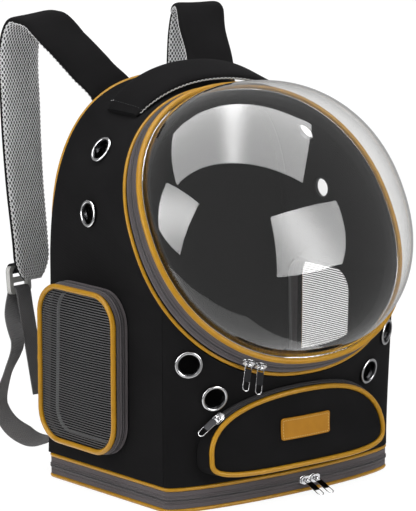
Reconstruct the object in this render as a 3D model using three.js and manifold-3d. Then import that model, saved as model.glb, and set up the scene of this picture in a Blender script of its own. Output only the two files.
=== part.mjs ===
// Bubble pet carrier backpack: a padded fabric body with a clear dome zipped into its leaning front,
// mesh window pods on both sides, a front pocket, a grab handle and two shoulder straps.
// Millimetres, +Z up. The origin is the middle of the base's underside, +Y points to the wearer's
// back and +X to the right of someone who looks at the dome.
import * as THREE from "three";
import { mergeVertices } from "three/addons/utils/BufferGeometryUtils.js";
import Module from "manifold-3d";

const wasm = await Module();
wasm.setup();

// Body
const bodyWidth = 314;
const baseWidth = 324;
const bodyDepth = 200;
const bodyHeight = 420;
const frontWidth = 294;
const frontCornerDepth = 12;
const frontBulge = 26;
const frontHollow = 11;
const archStart = 222;
const archFullness = 2.68;
const wall = 3;
const gussetHollow = 3;
const backThickness = 5;
const seamGap = 0.6;
const gap = 0.3;
const seatLift = 0.5;
const podLift = 2;
const flangeLift = 1.4;
const pocketLift = 1.4;

// Dome ring: its plane leans back from vertical
const ringWidth = 328;
const ringHeight = 313;
const ringFullness = 2.18;
const ringForward = 66;
const ringCentreHeight = 274;
const ringLean = 28.9;
const ringSeamTurn = 23.5;
const ringZipWidth = 15.2;
const ringTaper = 5.9;
const ringHeelDepth = 9;
const zipTape = 2;
const flangeWidth = 9;
const flangeThickness = 2;
const domeDepth = 100;
const domeFullness = 2.12;
const domeWall = 1.6;
const pipingRadius = 2.2;
const ringPipingRadius = 3;

// Base
const trayThickness = 3;
const baseZipHeight = 17;
const backCornerRadius = 9;

// Side windows
const windowDepth = 128;
const windowHeight = 168;
const windowCentreBack = 30;
const windowCentreHeight = 130;
const windowCorner = 34;
const windowProud = 18;
const windowPipingRadius = 2.8;
const windowMargin = 9;
const windowMesh = 1.6;
const windowCrown = 4;
const windowFlare = 1.5;

// Vent eyelets
const eyeletRadius = 14;
const eyeletBore = 10;
const eyeletBarrel = 11.2;
const eyeletFlange = 1.8;

// Pocket and patch
const pocketWidth = 224;
const pocketRise = 64;
const pocketDrop = 26;
const pocketWidestHeight = 58;
const pocketFullness = 2.15;
const pocketFloorFullness = 4;
const pocketProud = 19;
const pocketTopProud = 8;
const pocketFlare = 5;
const pocketCrown = 3;
const pocketCloth = 2;
const pocketPipingRadius = 2.6;
const patchWidth = 62;
const patchHeight = 26;
const patchThickness = 1.4;
const patchCentreHeight = 80;

// Handle
const handleWidth = 50;
const handleThickness = 8;
const handleReach = 104;
const handleLift = 10;
const handleBack = 38;

// Shoulder straps and their webbing
const strapWidth = 58;
const strapThickness = 10;
const strapSpread = 128;
const strapRootHeight = 372;
const strapRise = 102;
const strapReach = 100;
const strapDrop = 280;
const strapRoots = 64;
const webWidth = 25;
const webThickness = 1.8;
const buckleWidth = 36;
const buckleHeight = 30;
const buckleThickness = 5;
const buckleBar = 5;
const buckleStand = 19;
const webFootHeight = 36;
const webFootInset = 22;
const webReach = 100;
const webFlare = 56;
const tailLength = 110;
const tailLean = 20;

// Zip sliders and pulls
const sliderLength = 11;
const sliderWidth = 7.4;
const sliderBody = 2.6;
const bridgeOpening = 2.6;
const bridgeBar = 1.1;
const bridgeBreadth = 2.2;
const pullLength = 27;
const pullWidth = 8.6;
const pullThickness = 1.4;

// How finely curved things are stepped
const ringSteps = 36;
const pipingSides = 6;

const V = (x, y, z) => new THREE.Vector3(x, y, z);
const radians = THREE.MathUtils.degToRad;
const mix = (a, b, share) => a.clone().lerp(b, share);
const range = (count) => Array.from({ length: count }, (_, index) => index);
const X = V(1, 0, 0);
const Y = V(0, 1, 0);
const Z = V(0, 0, 1);

const paint = (color, roughness, metalness = 0) =>
  new THREE.MeshStandardMaterial({ color, roughness, metalness });
const blackCloth = paint(0x1d1c1d, 0.85);
const amberPiping = paint(0xc78a2c, 0.5);
const greyTape = paint(0x5c5759, 0.8);
const greyMesh = paint(0x6e6e70, 0.8);
const clearDome = paint(0xe6ecee, 0.05);
const chrome = paint(0xd8d8d8, 0.2, 1);
const gunmetal = paint(0x55565a, 0.3, 1);
const amberLeather = paint(0xb87f2c, 0.55);
const greyWeb = paint(0x6a6a6c, 0.8);
const palePlastic = paint(0xb9bab8, 0.5);

const backpack = new THREE.Group();

function add(name, geometry, material) {
  const mesh = new THREE.Mesh(geometry, material);
  mesh.name = name;
  backpack.add(mesh);
  return mesh;
}

// A closed body from points and triangles: doubled points are merged, empty triangles are dropped
// and the faces are turned outwards.
function closedBody(points, faces) {
  const raw = new THREE.BufferGeometry();
  raw.setAttribute("position", new THREE.Float32BufferAttribute(points.flatMap((p) => p.toArray()), 3));
  raw.setIndex(faces.flat());
  const merged = mergeVertices(raw, 1e-3);
  const at = (index) => V(0, 0, 0).fromBufferAttribute(merged.attributes.position, index);
  const kept = [];
  let volume = 0;
  for (let first = 0; first < merged.index.count; first += 3) {
    const [a, b, c] = [0, 1, 2].map((step) => merged.index.getX(first + step));
    if (a !== b && b !== c && c !== a) {
      kept.push([a, b, c]);
      volume += at(a).dot(at(b).cross(at(c)));
    }
  }
  merged.setIndex(kept.flatMap(([a, b, c]) => (volume > 0 ? [a, b, c] : [a, c, b])));
  merged.computeVertexNormals();
  return merged;
}

// Joins equal sections into one body. Each section is a closed row of points with an even count,
// and an open path is capped by strips from the section's first half to its second.
function loft(sections, closedPath) {
  const count = sections[0].length;
  const faces = [];
  const spans = closedPath ? sections.length : sections.length - 1;
  for (const i of range(spans)) {
    const next = (i + 1) % sections.length;
    for (const j of range(count)) {
      const k = (j + 1) % count;
      const corners = [i * count + j, i * count + k, next * count + k, next * count + j];
      faces.push([corners[0], corners[1], corners[2]], [corners[0], corners[2], corners[3]]);
    }
  }
  if (!closedPath) {
    const end = (sections.length - 1) * count;
    for (const j of range(count / 2 - 1)) {
      const strip = [j, j + 1, count - 2 - j, count - 1 - j];
      faces.push([strip[0], strip[2], strip[1]], [strip[0], strip[3], strip[2]]);
      faces.push([end + strip[0], end + strip[1], end + strip[2]]);
      faces.push([end + strip[0], end + strip[2], end + strip[3]]);
    }
  }
  return closedBody(sections.flat(), faces);
}

// A wall of even thickness under a surface: grid rows run across, its columns along.
function sheet(outer, inward, thickness) {
  const inner = outer.map((column, i) =>
    column.map((point, j) => point.clone().addScaledVector(inward(i, j), thickness)));
  return loft(outer.map((column, i) => [...column, ...inner[i].slice().reverse()]), false);
}

// The unit normal of a surface of two parameters, worked out from near points.
function normalOf(surface, u, v, step = 1e-3) {
  const across = surface(u + step, v).sub(surface(u - step, v));
  const along = surface(u, v + step).sub(surface(u, v - step));
  return across.cross(along).normalize();
}

// The parameters where a surface reaches two wanted coordinates, by Newton's method.
function findOn(surface, first, second, wanted, guess) {
  const step = 1e-4;
  let [u, v] = guess;
  for (const _ of range(14)) {
    const here = surface(u, v);
    const du = surface(u + step, v).sub(here).divideScalar(step);
    const dv = surface(u, v + step).sub(here).divideScalar(step);
    const missA = wanted[0] - here[first];
    const missB = wanted[1] - here[second];
    const scale = du[first] * dv[second] - dv[first] * du[second];
    u += (missA * dv[second] - missB * dv[first]) / scale;
    v += (missB * du[first] - missA * du[second]) / scale;
  }
  return [u, v];
}

// A round tube through points. frame(i) gives the two directions that span its section.
function tube(points, frame, radius, closedPath) {
  return loft(points.map((point, i) => {
    const [a, b] = frame(i);
    return range(pipingSides).map((side) => {
      const turn = (2 * Math.PI * (side + 0.5)) / pipingSides;
      return point.clone()
        .addScaledVector(a, radius * Math.cos(turn))
        .addScaledVector(b, radius * Math.sin(turn));
    });
  }), closedPath);
}

// Section directions for a tube: one is square to the path and nearest to a given direction.
function framesAlong(points, up, closedPath) {
  const count = points.length;
  return (i) => {
    const before = closedPath ? points[(i + count - 1) % count] : points[Math.max(i - 1, 0)];
    const after = closedPath ? points[(i + 1) % count] : points[Math.min(i + 1, count - 1)];
    const along = after.clone().sub(before).normalize();
    const b = up.clone().addScaledVector(along, -up.dot(along)).normalize();
    return [along.clone().cross(b).normalize(), b];
  };
}

// The part of one direction that is square to another
function square(directionA, directionB) {
  return directionB.clone().addScaledVector(directionA, -directionB.dot(directionA)).normalize();
}

// A matrix that takes local x, y, z to the given directions at a point.
function placed(origin, xAxis, yAxis, zAxis) {
  return new THREE.Matrix4().makeBasis(xAxis, yAxis, zAxis).setPosition(origin);
}

function toSolid(geometry) {
  const bare = new THREE.BufferGeometry();
  bare.setAttribute("position", geometry.attributes.position.clone());
  if (geometry.index) {
    bare.setIndex(geometry.index.clone());
  }
  const merged = mergeVertices(bare, 1e-4);
  return new wasm.Manifold(new wasm.Mesh({
    numProp: 3,
    vertProperties: new Float32Array(merged.attributes.position.array),
    triVerts: new Uint32Array(merged.index.array),
  }));
}

function fromSolid(solid) {
  const mesh = solid.getMesh();
  const geometry = new THREE.BufferGeometry();
  geometry.setAttribute("position", new THREE.BufferAttribute(mesh.vertProperties, 3));
  geometry.setIndex(new THREE.BufferAttribute(mesh.triVerts, 1));
  geometry.computeVertexNormals();
  return geometry;
}

const carve = (geometry, cutters) =>
  fromSolid(cutters.reduce((solid, cutter) => solid.subtract(toSolid(cutter)), toSolid(geometry)));
const fuse = (pieces) =>
  fromSolid(pieces.slice(1).reduce((solid, piece) => solid.add(toSolid(piece)), toSolid(pieces[0])));

// Superellipse share: like a cosine or sine, with fuller shoulders as fullness grows past 2.
const full = (value, fullness) => Math.sign(value) * Math.abs(value) ** (2 / fullness);

// Equal loops of points turned into one section for each place round them
const acrossLoops = (loops) => loops[0].map((_, i) => loops.map((loop) => loop[i]));

// Dome ring
const lean = radians(ringLean);
const ringUp = V(0, Math.sin(lean), Math.cos(lean));
const ringOut = V(0, -Math.cos(lean), Math.sin(lean));
const ringCentre = V(0, -ringForward, ringCentreHeight);

// A point by its turn from the right, how far it lies inside the outer piping and its lift off the
// plane. The zip tape is widest at the heel, so the outer piping sits deeper there.
function ringPoint(turn, inset, lift) {
  const heel = (1 - Math.sin(turn)) / 2;
  const sink = ringHeelDepth * heel * Math.max(0, 1 - lift / (ringZipWidth - ringPipingRadius));
  return ringCentre.clone()
    .addScaledVector(X, (ringWidth / 2 - inset) * full(Math.cos(turn), ringFullness))
    .addScaledVector(ringUp, (ringHeight / 2 - inset) * full(Math.sin(turn), ringFullness))
    .addScaledVector(ringOut, lift - sink);
}

const ringTurn = (share) => share * 2 * Math.PI;
const ringLoop = (inset, lift) =>
  range(ringSteps).map((i) => ringPoint(ringTurn(i / ringSteps), inset, lift));

function ringTube(inset, lift, radius) {
  const points = ringLoop(inset, lift);
  return tube(points, framesAlong(points, ringOut, true), radius, true);
}

// A band round the ring between two places given as inset and lift, with its thickness inwards.
function ringBand(from, to, thickness) {
  const run = V(to[0] - from[0], to[1] - from[1], 0).normalize();
  const inward = [run.y * thickness, -run.x * thickness];
  const within = ([inset, lift]) => [inset + inward[0], lift + inward[1]];
  const corners = [from, to, within(to), within(from)];
  return loft(range(ringSteps).map((i) =>
    corners.map(([inset, lift]) => ringPoint(ringTurn(i / ringSteps), inset, lift))), true);
}

const innerInset = ringTaper;
const innerLift = ringZipWidth;
const tapeStart = [1, pipingRadius + gap];
const tapeEnd = [innerInset - 1, innerLift - ringPipingRadius - gap];
const flangeStart = innerInset + ringPipingRadius + gap;

add("ring_piping_outer", ringTube(0, 0, pipingRadius), amberPiping);
add("ring_zip_tape", ringBand(tapeStart, tapeEnd, zipTape), greyTape);
add("ring_piping_inner", ringTube(innerInset, innerLift, ringPipingRadius), amberPiping);
const flangeTop = innerLift - domeWall - gap;
const flangeEnd = [flangeStart + flangeWidth, flangeTop - 1];
add("dome_flange", ringBand([flangeStart, flangeTop], flangeEnd, flangeThickness), blackCloth);

// The dome: an oval bubble of even wall, open towards the cabin.
function domePoint(turn, rise, inset, depth) {
  const base = ringPoint(turn, inset, innerLift);
  const centre = ringCentre.clone().addScaledVector(ringOut, innerLift);
  return mix(centre, base, full(Math.cos(rise), domeFullness))
    .addScaledVector(ringOut, depth * full(Math.sin(rise), domeFullness));
}

const domeRows = 6;
const domeRise = (row) => (row / domeRows) * (Math.PI / 2);
add("dome", loft(range(ringSteps).map((i) => {
  const turn = ringTurn(i / ringSteps);
  const outer = range(domeRows + 1).map((row) => domePoint(turn, domeRise(row), flangeStart, domeDepth));
  const inner = range(domeRows + 1).map((row) =>
    domePoint(turn, domeRise(row), flangeStart + domeWall, domeDepth - domeWall));
  return [...outer, ...inner.reverse()];
}), true), clearDome);

// Base stack: tray, lower piping, zip tape and upper piping
const lowerPipingHeight = pipingRadius + gap;
const baseTapeBottom = lowerPipingHeight + pipingRadius + gap;
const baseTapeTop = baseTapeBottom + baseZipHeight;
const upperPipingHeight = baseTapeTop + pipingRadius + gap;
const wallBottom = upperPipingHeight + pipingRadius + gap;
const frontLine = frontCornerDepth - bodyDepth / 2;
const backLine = bodyDepth / 2;

// The base outline seen from above, with the seams at the ends of the bulged front.
function frontCurve(turn) {
  return V((frontWidth / 2) * Math.sin(turn), frontLine - frontBulge * Math.cos(turn), 0);
}

function baseOutline(inset) {
  const corner = backCornerRadius;
  const front = range(19).map((i) => frontCurve(radians(-90 + 10 * i)));
  const arc = (side, from) => range(4).map((i) => {
    const turn = radians(from + 30 * i);
    const x = side * (baseWidth / 2 - corner) + corner * Math.cos(turn);
    return V(x, backLine - corner + corner * Math.sin(turn), 0);
  });
  const loop = [...front, ...arc(1, 0), ...arc(-1, 90)];
  return loop.map((point, i) => {
    const before = loop[(i + loop.length - 1) % loop.length];
    const along = loop[(i + 1) % loop.length].clone().sub(before).normalize();
    return point.clone().addScaledVector(V(-along.y, along.x, 0), inset);
  });
}

const atHeight = (points, height) => points.map((point) => point.clone().setZ(height));

function flatShape(points) {
  return new THREE.Shape(points.map((point) => new THREE.Vector2(point.x, point.y)));
}

function baseTube(height) {
  const points = atHeight(baseOutline(pipingRadius), height);
  return tube(points, framesAlong(points, Z, true), pipingRadius, true);
}

const trayInset = 2 * pipingRadius + gap;
add("base_tray", new THREE.ExtrudeGeometry(flatShape(baseOutline(trayInset)),
  { depth: trayThickness, bevelEnabled: false }), blackCloth);
add("base_piping_lower", baseTube(lowerPipingHeight), amberPiping);
const tapeOuter = baseOutline(1);
const tapeInner = baseOutline(1 + zipTape);
add("base_zip_tape", loft(tapeOuter.map((point, i) => [
  point.clone().setZ(baseTapeBottom),
  point.clone().setZ(baseTapeTop),
  tapeInner[i].clone().setZ(baseTapeTop),
  tapeInner[i].clone().setZ(baseTapeBottom),
]), true), greyTape);
add("base_piping_upper", baseTube(upperPipingHeight), amberPiping);

// Back outline: straight sides, then a full arch
function backEdge(u, inset) {
  const side = Math.sign(u);
  const share = Math.abs(u);
  const half = bodyWidth / 2 - inset;
  if (share > seamShare) {
    const drop = (share - seamShare) / (1 - seamShare);
    const spread = ((baseWidth - bodyWidth) / 2) * drop ** 1.5;
    return V(side * (half + spread), backLine, archStart + (wallBottom - archStart) * drop);
  }
  const turn = (Math.PI / 2) * (1 - share / seamShare);
  return V(side * half * full(Math.cos(turn), archFullness), backLine,
    archStart + (bodyHeight - inset - archStart) * full(Math.sin(turn), archFullness));
}

// Front edge of the sides and top: the seam below, the ring above. u runs from -1 at the left foot
// over 0 at the top to 1 at the right foot.
const seamShare = 0.72;
const seamTurn = radians(ringSeamTurn);

function frontEdge(u) {
  const side = Math.sign(u);
  const share = Math.abs(u);
  if (share > seamShare) {
    const drop = (share - seamShare) / (1 - seamShare);
    const top = ringPoint(-seamTurn, 0, 0);
    const foot = V(frontWidth / 2, frontLine, wallBottom);
    const point = mix(top, foot, drop);
    return point.setX(side * point.x);
  }
  const point = ringPoint(Math.PI / 2 - (Math.PI / 2 + seamTurn) * (share / seamShare), 0, 0);
  return point.setX(side * Math.abs(point.x));
}

// Side and top fabric, ruled from the front edge (s = 0) to the back edge (s = 1), with a slight
// hollow where the cloth draws in between them.
function gussetSurface(u, s) {
  const front = frontEdge(u);
  const back = backEdge(u, 0);
  const point = mix(front, back, s);
  const middle = V(0, point.y, (archStart + wallBottom) / 2);
  const pull = gussetHollow * Math.sin(Math.PI * Math.min(Math.max(s, 0), 1));
  return point.addScaledVector(middle.sub(point).normalize(), pull * Math.min(1, 4 * (1 - Math.abs(u))));
}

const outwardOn = (surface, u, v, away) => {
  const normal = normalOf(surface, u, v);
  return normal.dot(away) < 0 ? normal.negate() : normal;
};
const gussetOutward = (u, s) => {
  const point = gussetSurface(u, s);
  return outwardOn(gussetSurface, u, s, V(point.x, 0, point.z - archStart));
};

// At the seam both fabrics are thick in one common direction, so that they meet face to face. It
// turns downwards near the top, away from the ring's piping.
const seamInward = (side, rise) => V(-Math.sign(side) * (1 - rise / 2), 0, -0.8 * rise ** 3).normalize();
const gussetColumns = 40;
const gussetRows = 3;
const pipeClear = pipingRadius + gap;
const backPipingLine = backLine - backThickness / 2;

const gussetGrid = range(gussetColumns + 1).map((i) => {
  const u = -1 + (2 * i) / gussetColumns;
  const length = frontEdge(u).distanceTo(backEdge(u, 0));
  const low = (Math.abs(u) > seamShare ? seamGap : pipeClear + 0.8) / length;
  const high = 1 - (backThickness + gap + 0.3) / length;
  return range(gussetRows + 1).map((j) => ({ u, s: low + (high - low) * (j / gussetRows) }));
});
const gussetPoints = gussetGrid.map((column) => column.map(({ u, s }) => gussetSurface(u, s)));
const gussetSheet = sheet(gussetPoints, (i, j) => {
  const { u, s } = gussetGrid[i][j];
  const rise = (1 - Math.abs(u)) / (1 - seamShare);
  return j === 0 && rise < 1 ? seamInward(u, rise) : gussetOutward(u, s).negate();
}, wall);

// Lower front fabric, ruled from the bulged base line (v = 0) up to the ring's lower arc (v = 1)
function frontSurface(turn, v) {
  const low = frontCurve(turn).setZ(wallBottom);
  const high = ringPoint(-Math.PI / 2 + turn * ((Math.PI / 2 - seamTurn) / (Math.PI / 2)), 0, 0);
  const hollow = frontHollow * Math.sin(Math.PI * Math.min(Math.max(v, 0), 1)) * Math.cos(turn);
  return mix(low, high, v).addScaledVector(Y, hollow);
}

const frontOutward = (turn, v) => outwardOn(frontSurface, turn, v, V(Math.sin(turn), -Math.cos(turn), 0));
const frontColumns = 20;
const frontRows = 4;
const frontGrid = range(frontColumns + 1).map((i) => {
  const turn = (Math.PI / 2) * (-1 + (2 * i) / frontColumns);
  const length = frontSurface(turn, 0).distanceTo(frontSurface(turn, 1));
  return range(frontRows + 1).map((j) => ({ turn, v: (1 - (pipeClear + 0.8) / length) * (j / frontRows) }));
});
const frontSheet = sheet(frontGrid.map((column) => column.map(({ turn, v }) => frontSurface(turn, v))),
  (i, j) => {
    const { turn, v } = frontGrid[i][j];
    return i === 0 || i === frontColumns ? seamInward(turn, v) : frontOutward(turn, v).negate();
  }, wall);

// Places on the fabric
function onSide(side, back, height) {
  const guess = [side * (height > archStart ? 0.5 : 0.85), 0.5];
  const [u, s] = findOn(gussetSurface, "y", "z", [back, height], guess);
  return { point: gussetSurface(u, s), out: gussetOutward(u, s) };
}

function onFront(x, height) {
  const [turn, v] = findOn(frontSurface, "x", "z", [x, height], [x / (frontWidth / 2), 0.6]);
  return { point: frontSurface(turn, v), out: frontOutward(turn, v) };
}

// Vent eyelets: where each pair sits, then the ring and the hole for its barrel
const gussetEyelets = { upper: { back: 32, height: 352 }, lower: { back: 27, height: 289 } };
const frontEyelets = { upper: { x: 129, height: 153 }, lower: { x: 101, height: 116 } };

function eyeletGeometry() {
  const barrelDepth = wall + flangeLift;
  const profile = [
    [eyeletBore, -barrelDepth],
    [eyeletBarrel, -barrelDepth],
    [eyeletBarrel, 0],
    [eyeletRadius, 0],
    [eyeletBore, eyeletFlange],
    [eyeletBore, -barrelDepth],
  ];
  return new THREE.LatheGeometry(profile.map(([r, y]) => new THREE.Vector2(r, y)), 10);
}

function onPlace({ point, out }, lift) {
  const side = Math.abs(out.z) > 0.9 ? X.clone() : Z.clone();
  const across = side.addScaledVector(out, -side.dot(out)).normalize();
  return placed(point.clone().addScaledVector(out, lift), across.clone().cross(out).negate(), out, across);
}

function eyelet(name, place) {
  const body = closedFrom(eyeletGeometry());
  add(name, body.applyMatrix4(onPlace(place, flangeLift)), chrome);
  const hole = new THREE.CylinderGeometry(eyeletBarrel + gap, eyeletBarrel + gap, 30, 10);
  return hole.applyMatrix4(onPlace(place, 0));
}

function closedFrom(geometry) {
  const position = geometry.attributes.position;
  const points = range(position.count).map((i) => V(0, 0, 0).fromBufferAttribute(position, i));
  const index = geometry.index ? [...geometry.index.array] : range(position.count);
  return closedBody(points, range(index.length / 3).map((i) => index.slice(3 * i, 3 * i + 3)));
}

const gussetHoles = [];
const frontHoles = [];
for (const [sideName, side] of [["left", -1], ["right", 1]]) {
  for (const [row, place] of Object.entries(gussetEyelets)) {
    const spot = onSide(side, place.back, place.height);
    gussetHoles.push(eyelet(`eyelet_side_${row}_${sideName}`, spot));
  }
  for (const [row, place] of Object.entries(frontEyelets)) {
    const spot = onFront(side * place.x, place.height);
    frontHoles.push(eyelet(`eyelet_front_${row}_${sideName}`, spot));
  }
}

// Side window pods. The outline is a rounded rectangle in the side's own plane, whose corners are
// stepped by angle.
function roundedRectangle(width, height, corner, steps) {
  const points = [];
  for (const [index, [sx, sy]] of [[1, 1], [-1, 1], [-1, -1], [1, -1]].entries()) {
    for (const i of range(steps + 1)) {
      const turn = (Math.PI / 2) * (index + i / steps);
      points.push(V(sx * (width / 2 - corner) + corner * Math.cos(turn),
        sy * (height / 2 - corner) + corner * Math.sin(turn), 0));
    }
  }
  return points;
}

const podCornerSteps = 4;

function podFrame(side) {
  const place = onSide(side, windowCentreBack, windowCentreHeight);
  const out = place.out.clone().setZ(0).normalize();
  const across = Z.clone().cross(out).normalize();
  return { origin: place.point, across, out };
}

function podPoint(frame, outlinePoint, lift) {
  return frame.origin.clone()
    .addScaledVector(frame.across, outlinePoint.x)
    .addScaledVector(Z, outlinePoint.y)
    .addScaledVector(frame.out, lift);
}

const podOutline = (inset) => roundedRectangle(windowDepth - 2 * inset, windowHeight - 2 * inset,
  windowCorner - inset, podCornerSteps);

// A ring of points on the side fabric under a pod's outline
function podSeat(side, frame, inset) {
  return podOutline(inset).map((point) => {
    const flat = podPoint(frame, point, 0);
    const { point: seat, out } = onSide(side, flat.y, flat.z);
    return seat.addScaledVector(out, podLift);
  });
}

for (const [sideName, side] of [["left", -1], ["right", 1]]) {
  const frame = podFrame(side);
  const tapeTop = windowProud - windowPipingRadius - gap;
  const ringOf = (inset, lift) => podOutline(inset).map((point) => podPoint(frame, point, lift));
  const loops = [
    podSeat(side, frame, -windowFlare),
    ringOf(1, tapeTop),
    ringOf(1 + zipTape, tapeTop),
    podSeat(side, frame, zipTape - windowFlare),
  ];
  add(`window_zip_tape_${sideName}`, loft(acrossLoops(loops), true), greyTape);
  const pipe = ringOf(windowPipingRadius, windowProud);
  const pipeFrames = framesAlong(pipe, frame.out, true);
  add(`window_piping_${sideName}`, tube(pipe, pipeFrames, windowPipingRadius, true), amberPiping);
  const meshInset = 2 * windowPipingRadius + gap;
  const crown = [0, 0.5, 1];
  const face = crown.map((share) => podOutline(meshInset).map((point) =>
    podPoint(frame, point.clone().multiplyScalar(share), windowProud + windowCrown * (1 - share * share))));
  const inwards = frame.out.clone().multiplyScalar(-windowMesh);
  const under = face.map((loop) => loop.map((point) => point.clone().add(inwards))).reverse();
  add(`window_mesh_${sideName}`, loft(acrossLoops([...face, ...under]), true), greyMesh);
  const cutDepth = 2 * windowProud;
  const opening = new THREE.ExtrudeGeometry(flatShape(podOutline(windowMargin)),
    { depth: cutDepth, bevelEnabled: false });
  opening.translate(0, 0, -cutDepth / 2);
  gussetHoles.push(opening.applyMatrix4(placed(frame.origin, frame.across, Z, frame.out)));
}

add("side_gusset", carve(gussetSheet, gussetHoles), blackCloth);
add("front_panel", carve(frontSheet, frontHoles), blackCloth);

// Padded back panel and the piping round its edge
const edgeSteps = range(gussetColumns + 1).map((i) => -1 + (2 * i) / gussetColumns);
const panelOutline = edgeSteps.map((u) => backEdge(u, pipingRadius + pipeClear));
const panelShape = flatShape(panelOutline.map((point) => V(point.x, point.z, 0)));
const backPanel = new THREE.ExtrudeGeometry(panelShape, { depth: backThickness, bevelEnabled: false });
add("back_panel", backPanel.applyMatrix4(placed(V(0, backLine, 0), X, Z, Y.clone().negate())), blackCloth);
const backPipe = edgeSteps.map((u) => backEdge(u, pipingRadius).setY(backPipingLine));
add("back_piping", tube(backPipe, framesAlong(backPipe, Y, false), pipingRadius, false), amberPiping);

// Front pocket: a half-moon pouch with a zip along its top
function pocketOutline(inset, steps) {
  return range(steps).map((i) => {
    const turn = (2 * Math.PI * i) / steps;
    const above = Math.sin(turn) > 0;
    const fullness = above ? pocketFullness : pocketFloorFullness;
    return V((pocketWidth / 2 - inset) * full(Math.cos(turn), fullness),
      pocketWidestHeight + ((above ? pocketRise : pocketDrop) - inset) * full(Math.sin(turn), fullness), 0);
  });
}

function offFront(x, height, lift) {
  const { point, out } = onFront(x, height);
  return point.addScaledVector(out, lift);
}

// How far the piping round the face stands out: the pouch is deep at its floor and flatter at its top
function pocketDepth(height) {
  const rise = Math.max(0, (height - pocketWidestHeight) / pocketRise);
  return pocketProud - (pocketProud - pocketTopProud) * Math.min(rise, 1);
}

const pocketSteps = 32;
const pocketLoop = (inset, liftAt) =>
  pocketOutline(inset, pocketSteps).map((p) => offFront(p.x, p.y, liftAt(p.y)));
const pocketTapeTop = (height) => pocketDepth(height) - pocketPipingRadius - gap;

// The wall's foot on the front fabric is wider than the face at both ends
const pocketSpread = 1 + pocketFlare / (pocketWidth / 2);
const pocketFoot = (inset) =>
  pocketOutline(inset, pocketSteps).map((p) => offFront(p.x * pocketSpread, p.y, pocketLift));
const pocketWalls = [
  pocketFoot(0),
  pocketLoop(1, pocketTapeTop),
  pocketLoop(1 + zipTape, pocketTapeTop),
  pocketFoot(zipTape),
];
add("pocket_zip_tape", loft(acrossLoops(pocketWalls), true), greyTape);
const pocketPipe = pocketLoop(pocketPipingRadius, pocketDepth);
const pocketFrames = pocketOutline(pocketPipingRadius, pocketSteps).map((p) => onFront(p.x, p.y).out);
const pocketPipeFrames = (i) => framesAlong(pocketPipe, pocketFrames[i], true)(i);
add("pocket_piping", tube(pocketPipe, pocketPipeFrames, pocketPipingRadius, true), amberPiping);

// The pocket's face is ruled from its lower edge to its upper edge, column by column
const faceInset = 2 * pocketPipingRadius + 2 * gap;
const faceColumns = 18;

function pocketFaceColumn(share) {
  const turn = Math.PI * (1 - share);
  const across = full(Math.cos(turn), pocketFullness);
  const rise = full(Math.sin(turn), pocketFullness);
  const fall = (1 - Math.abs(across) ** pocketFloorFullness) ** (1 / pocketFloorFullness);
  const top = pocketWidestHeight + (pocketRise - faceInset) * rise;
  const bottom = pocketWidestHeight - (pocketDrop - faceInset) * fall;
  return range(4).map((row) => ({
    x: (pocketWidth / 2 - faceInset) * across,
    height: bottom + (top - bottom) * (row / 3),
    crown: pocketCrown * Math.sin(Math.PI * (row / 3)) * rise,
  }));
}

const faceGrid = range(faceColumns - 1).map((i) => pocketFaceColumn((i + 1) / faceColumns));
const faceLift = ({ height, crown }) => pocketDepth(height) + crown;
add("pocket_face", sheet(faceGrid.map((column) => column.map((p) => offFront(p.x, p.height, faceLift(p)))),
  (i, j) => onFront(faceGrid[i][j].x, faceGrid[i][j].height).out.negate(), pocketCloth), blackCloth);

// Blank leather patch, curved with the pocket's face
const patchGrid = range(7).map((i) => range(3).map((j) => ({
  x: (patchWidth - 0.01) * (i / 6 - 0.5),
  height: patchCentreHeight + patchHeight * (j / 2 - 0.5),
})));
const patchLift = (height) => pocketDepth(height) + pocketCrown + 2 * gap + patchThickness;
const patchTop = patchGrid.map((column) => column.map((p) => offFront(p.x, p.height, patchLift(p.height))));
add("label_patch", sheet(patchTop,
  (i, j) => onFront(patchGrid[i][j].x, patchGrid[i][j].height).out.negate(), patchThickness), amberLeather);

// Grab handle: a padded band over the top, parallel to the ring
function padSection(centre, across, out, width, thickness) {
  const half = width / 2;
  const edge = thickness * 0.5;
  const corners = [[-half, -0.22], [-half, 0.22], [-half + edge, 0.5], [half - edge, 0.5], [half, 0.22],
    [half, -0.22], [half - edge, -0.5], [-half + edge, -0.5]];
  return corners.map(([a, b]) =>
    centre.clone().addScaledVector(across, a).addScaledVector(out, b * thickness));
}

const handleSteps = 16;
add("handle", loft(range(handleSteps + 1).map((i) => {
  const share = -1 + (2 * i) / handleSteps;
  const x = share * handleReach;
  const [u, s] = findOn(gussetSurface, "x", "y", [x, handleBack], [share * 0.4, 0.4]);
  const out = gussetOutward(u, s);
  const rise = handleLift * Math.cos((Math.PI / 2) * share) ** 0.8;
  const squash = 1 - 0.35 * share ** 8;
  const centre = gussetSurface(u, s).addScaledVector(out, (squash * handleThickness) / 2 + 2 * gap + rise);
  const across = Y.clone().addScaledVector(out, -Y.dot(out)).normalize();
  return padSection(centre, across, out, handleWidth, handleThickness * squash);
}), false), blackCloth);

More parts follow.
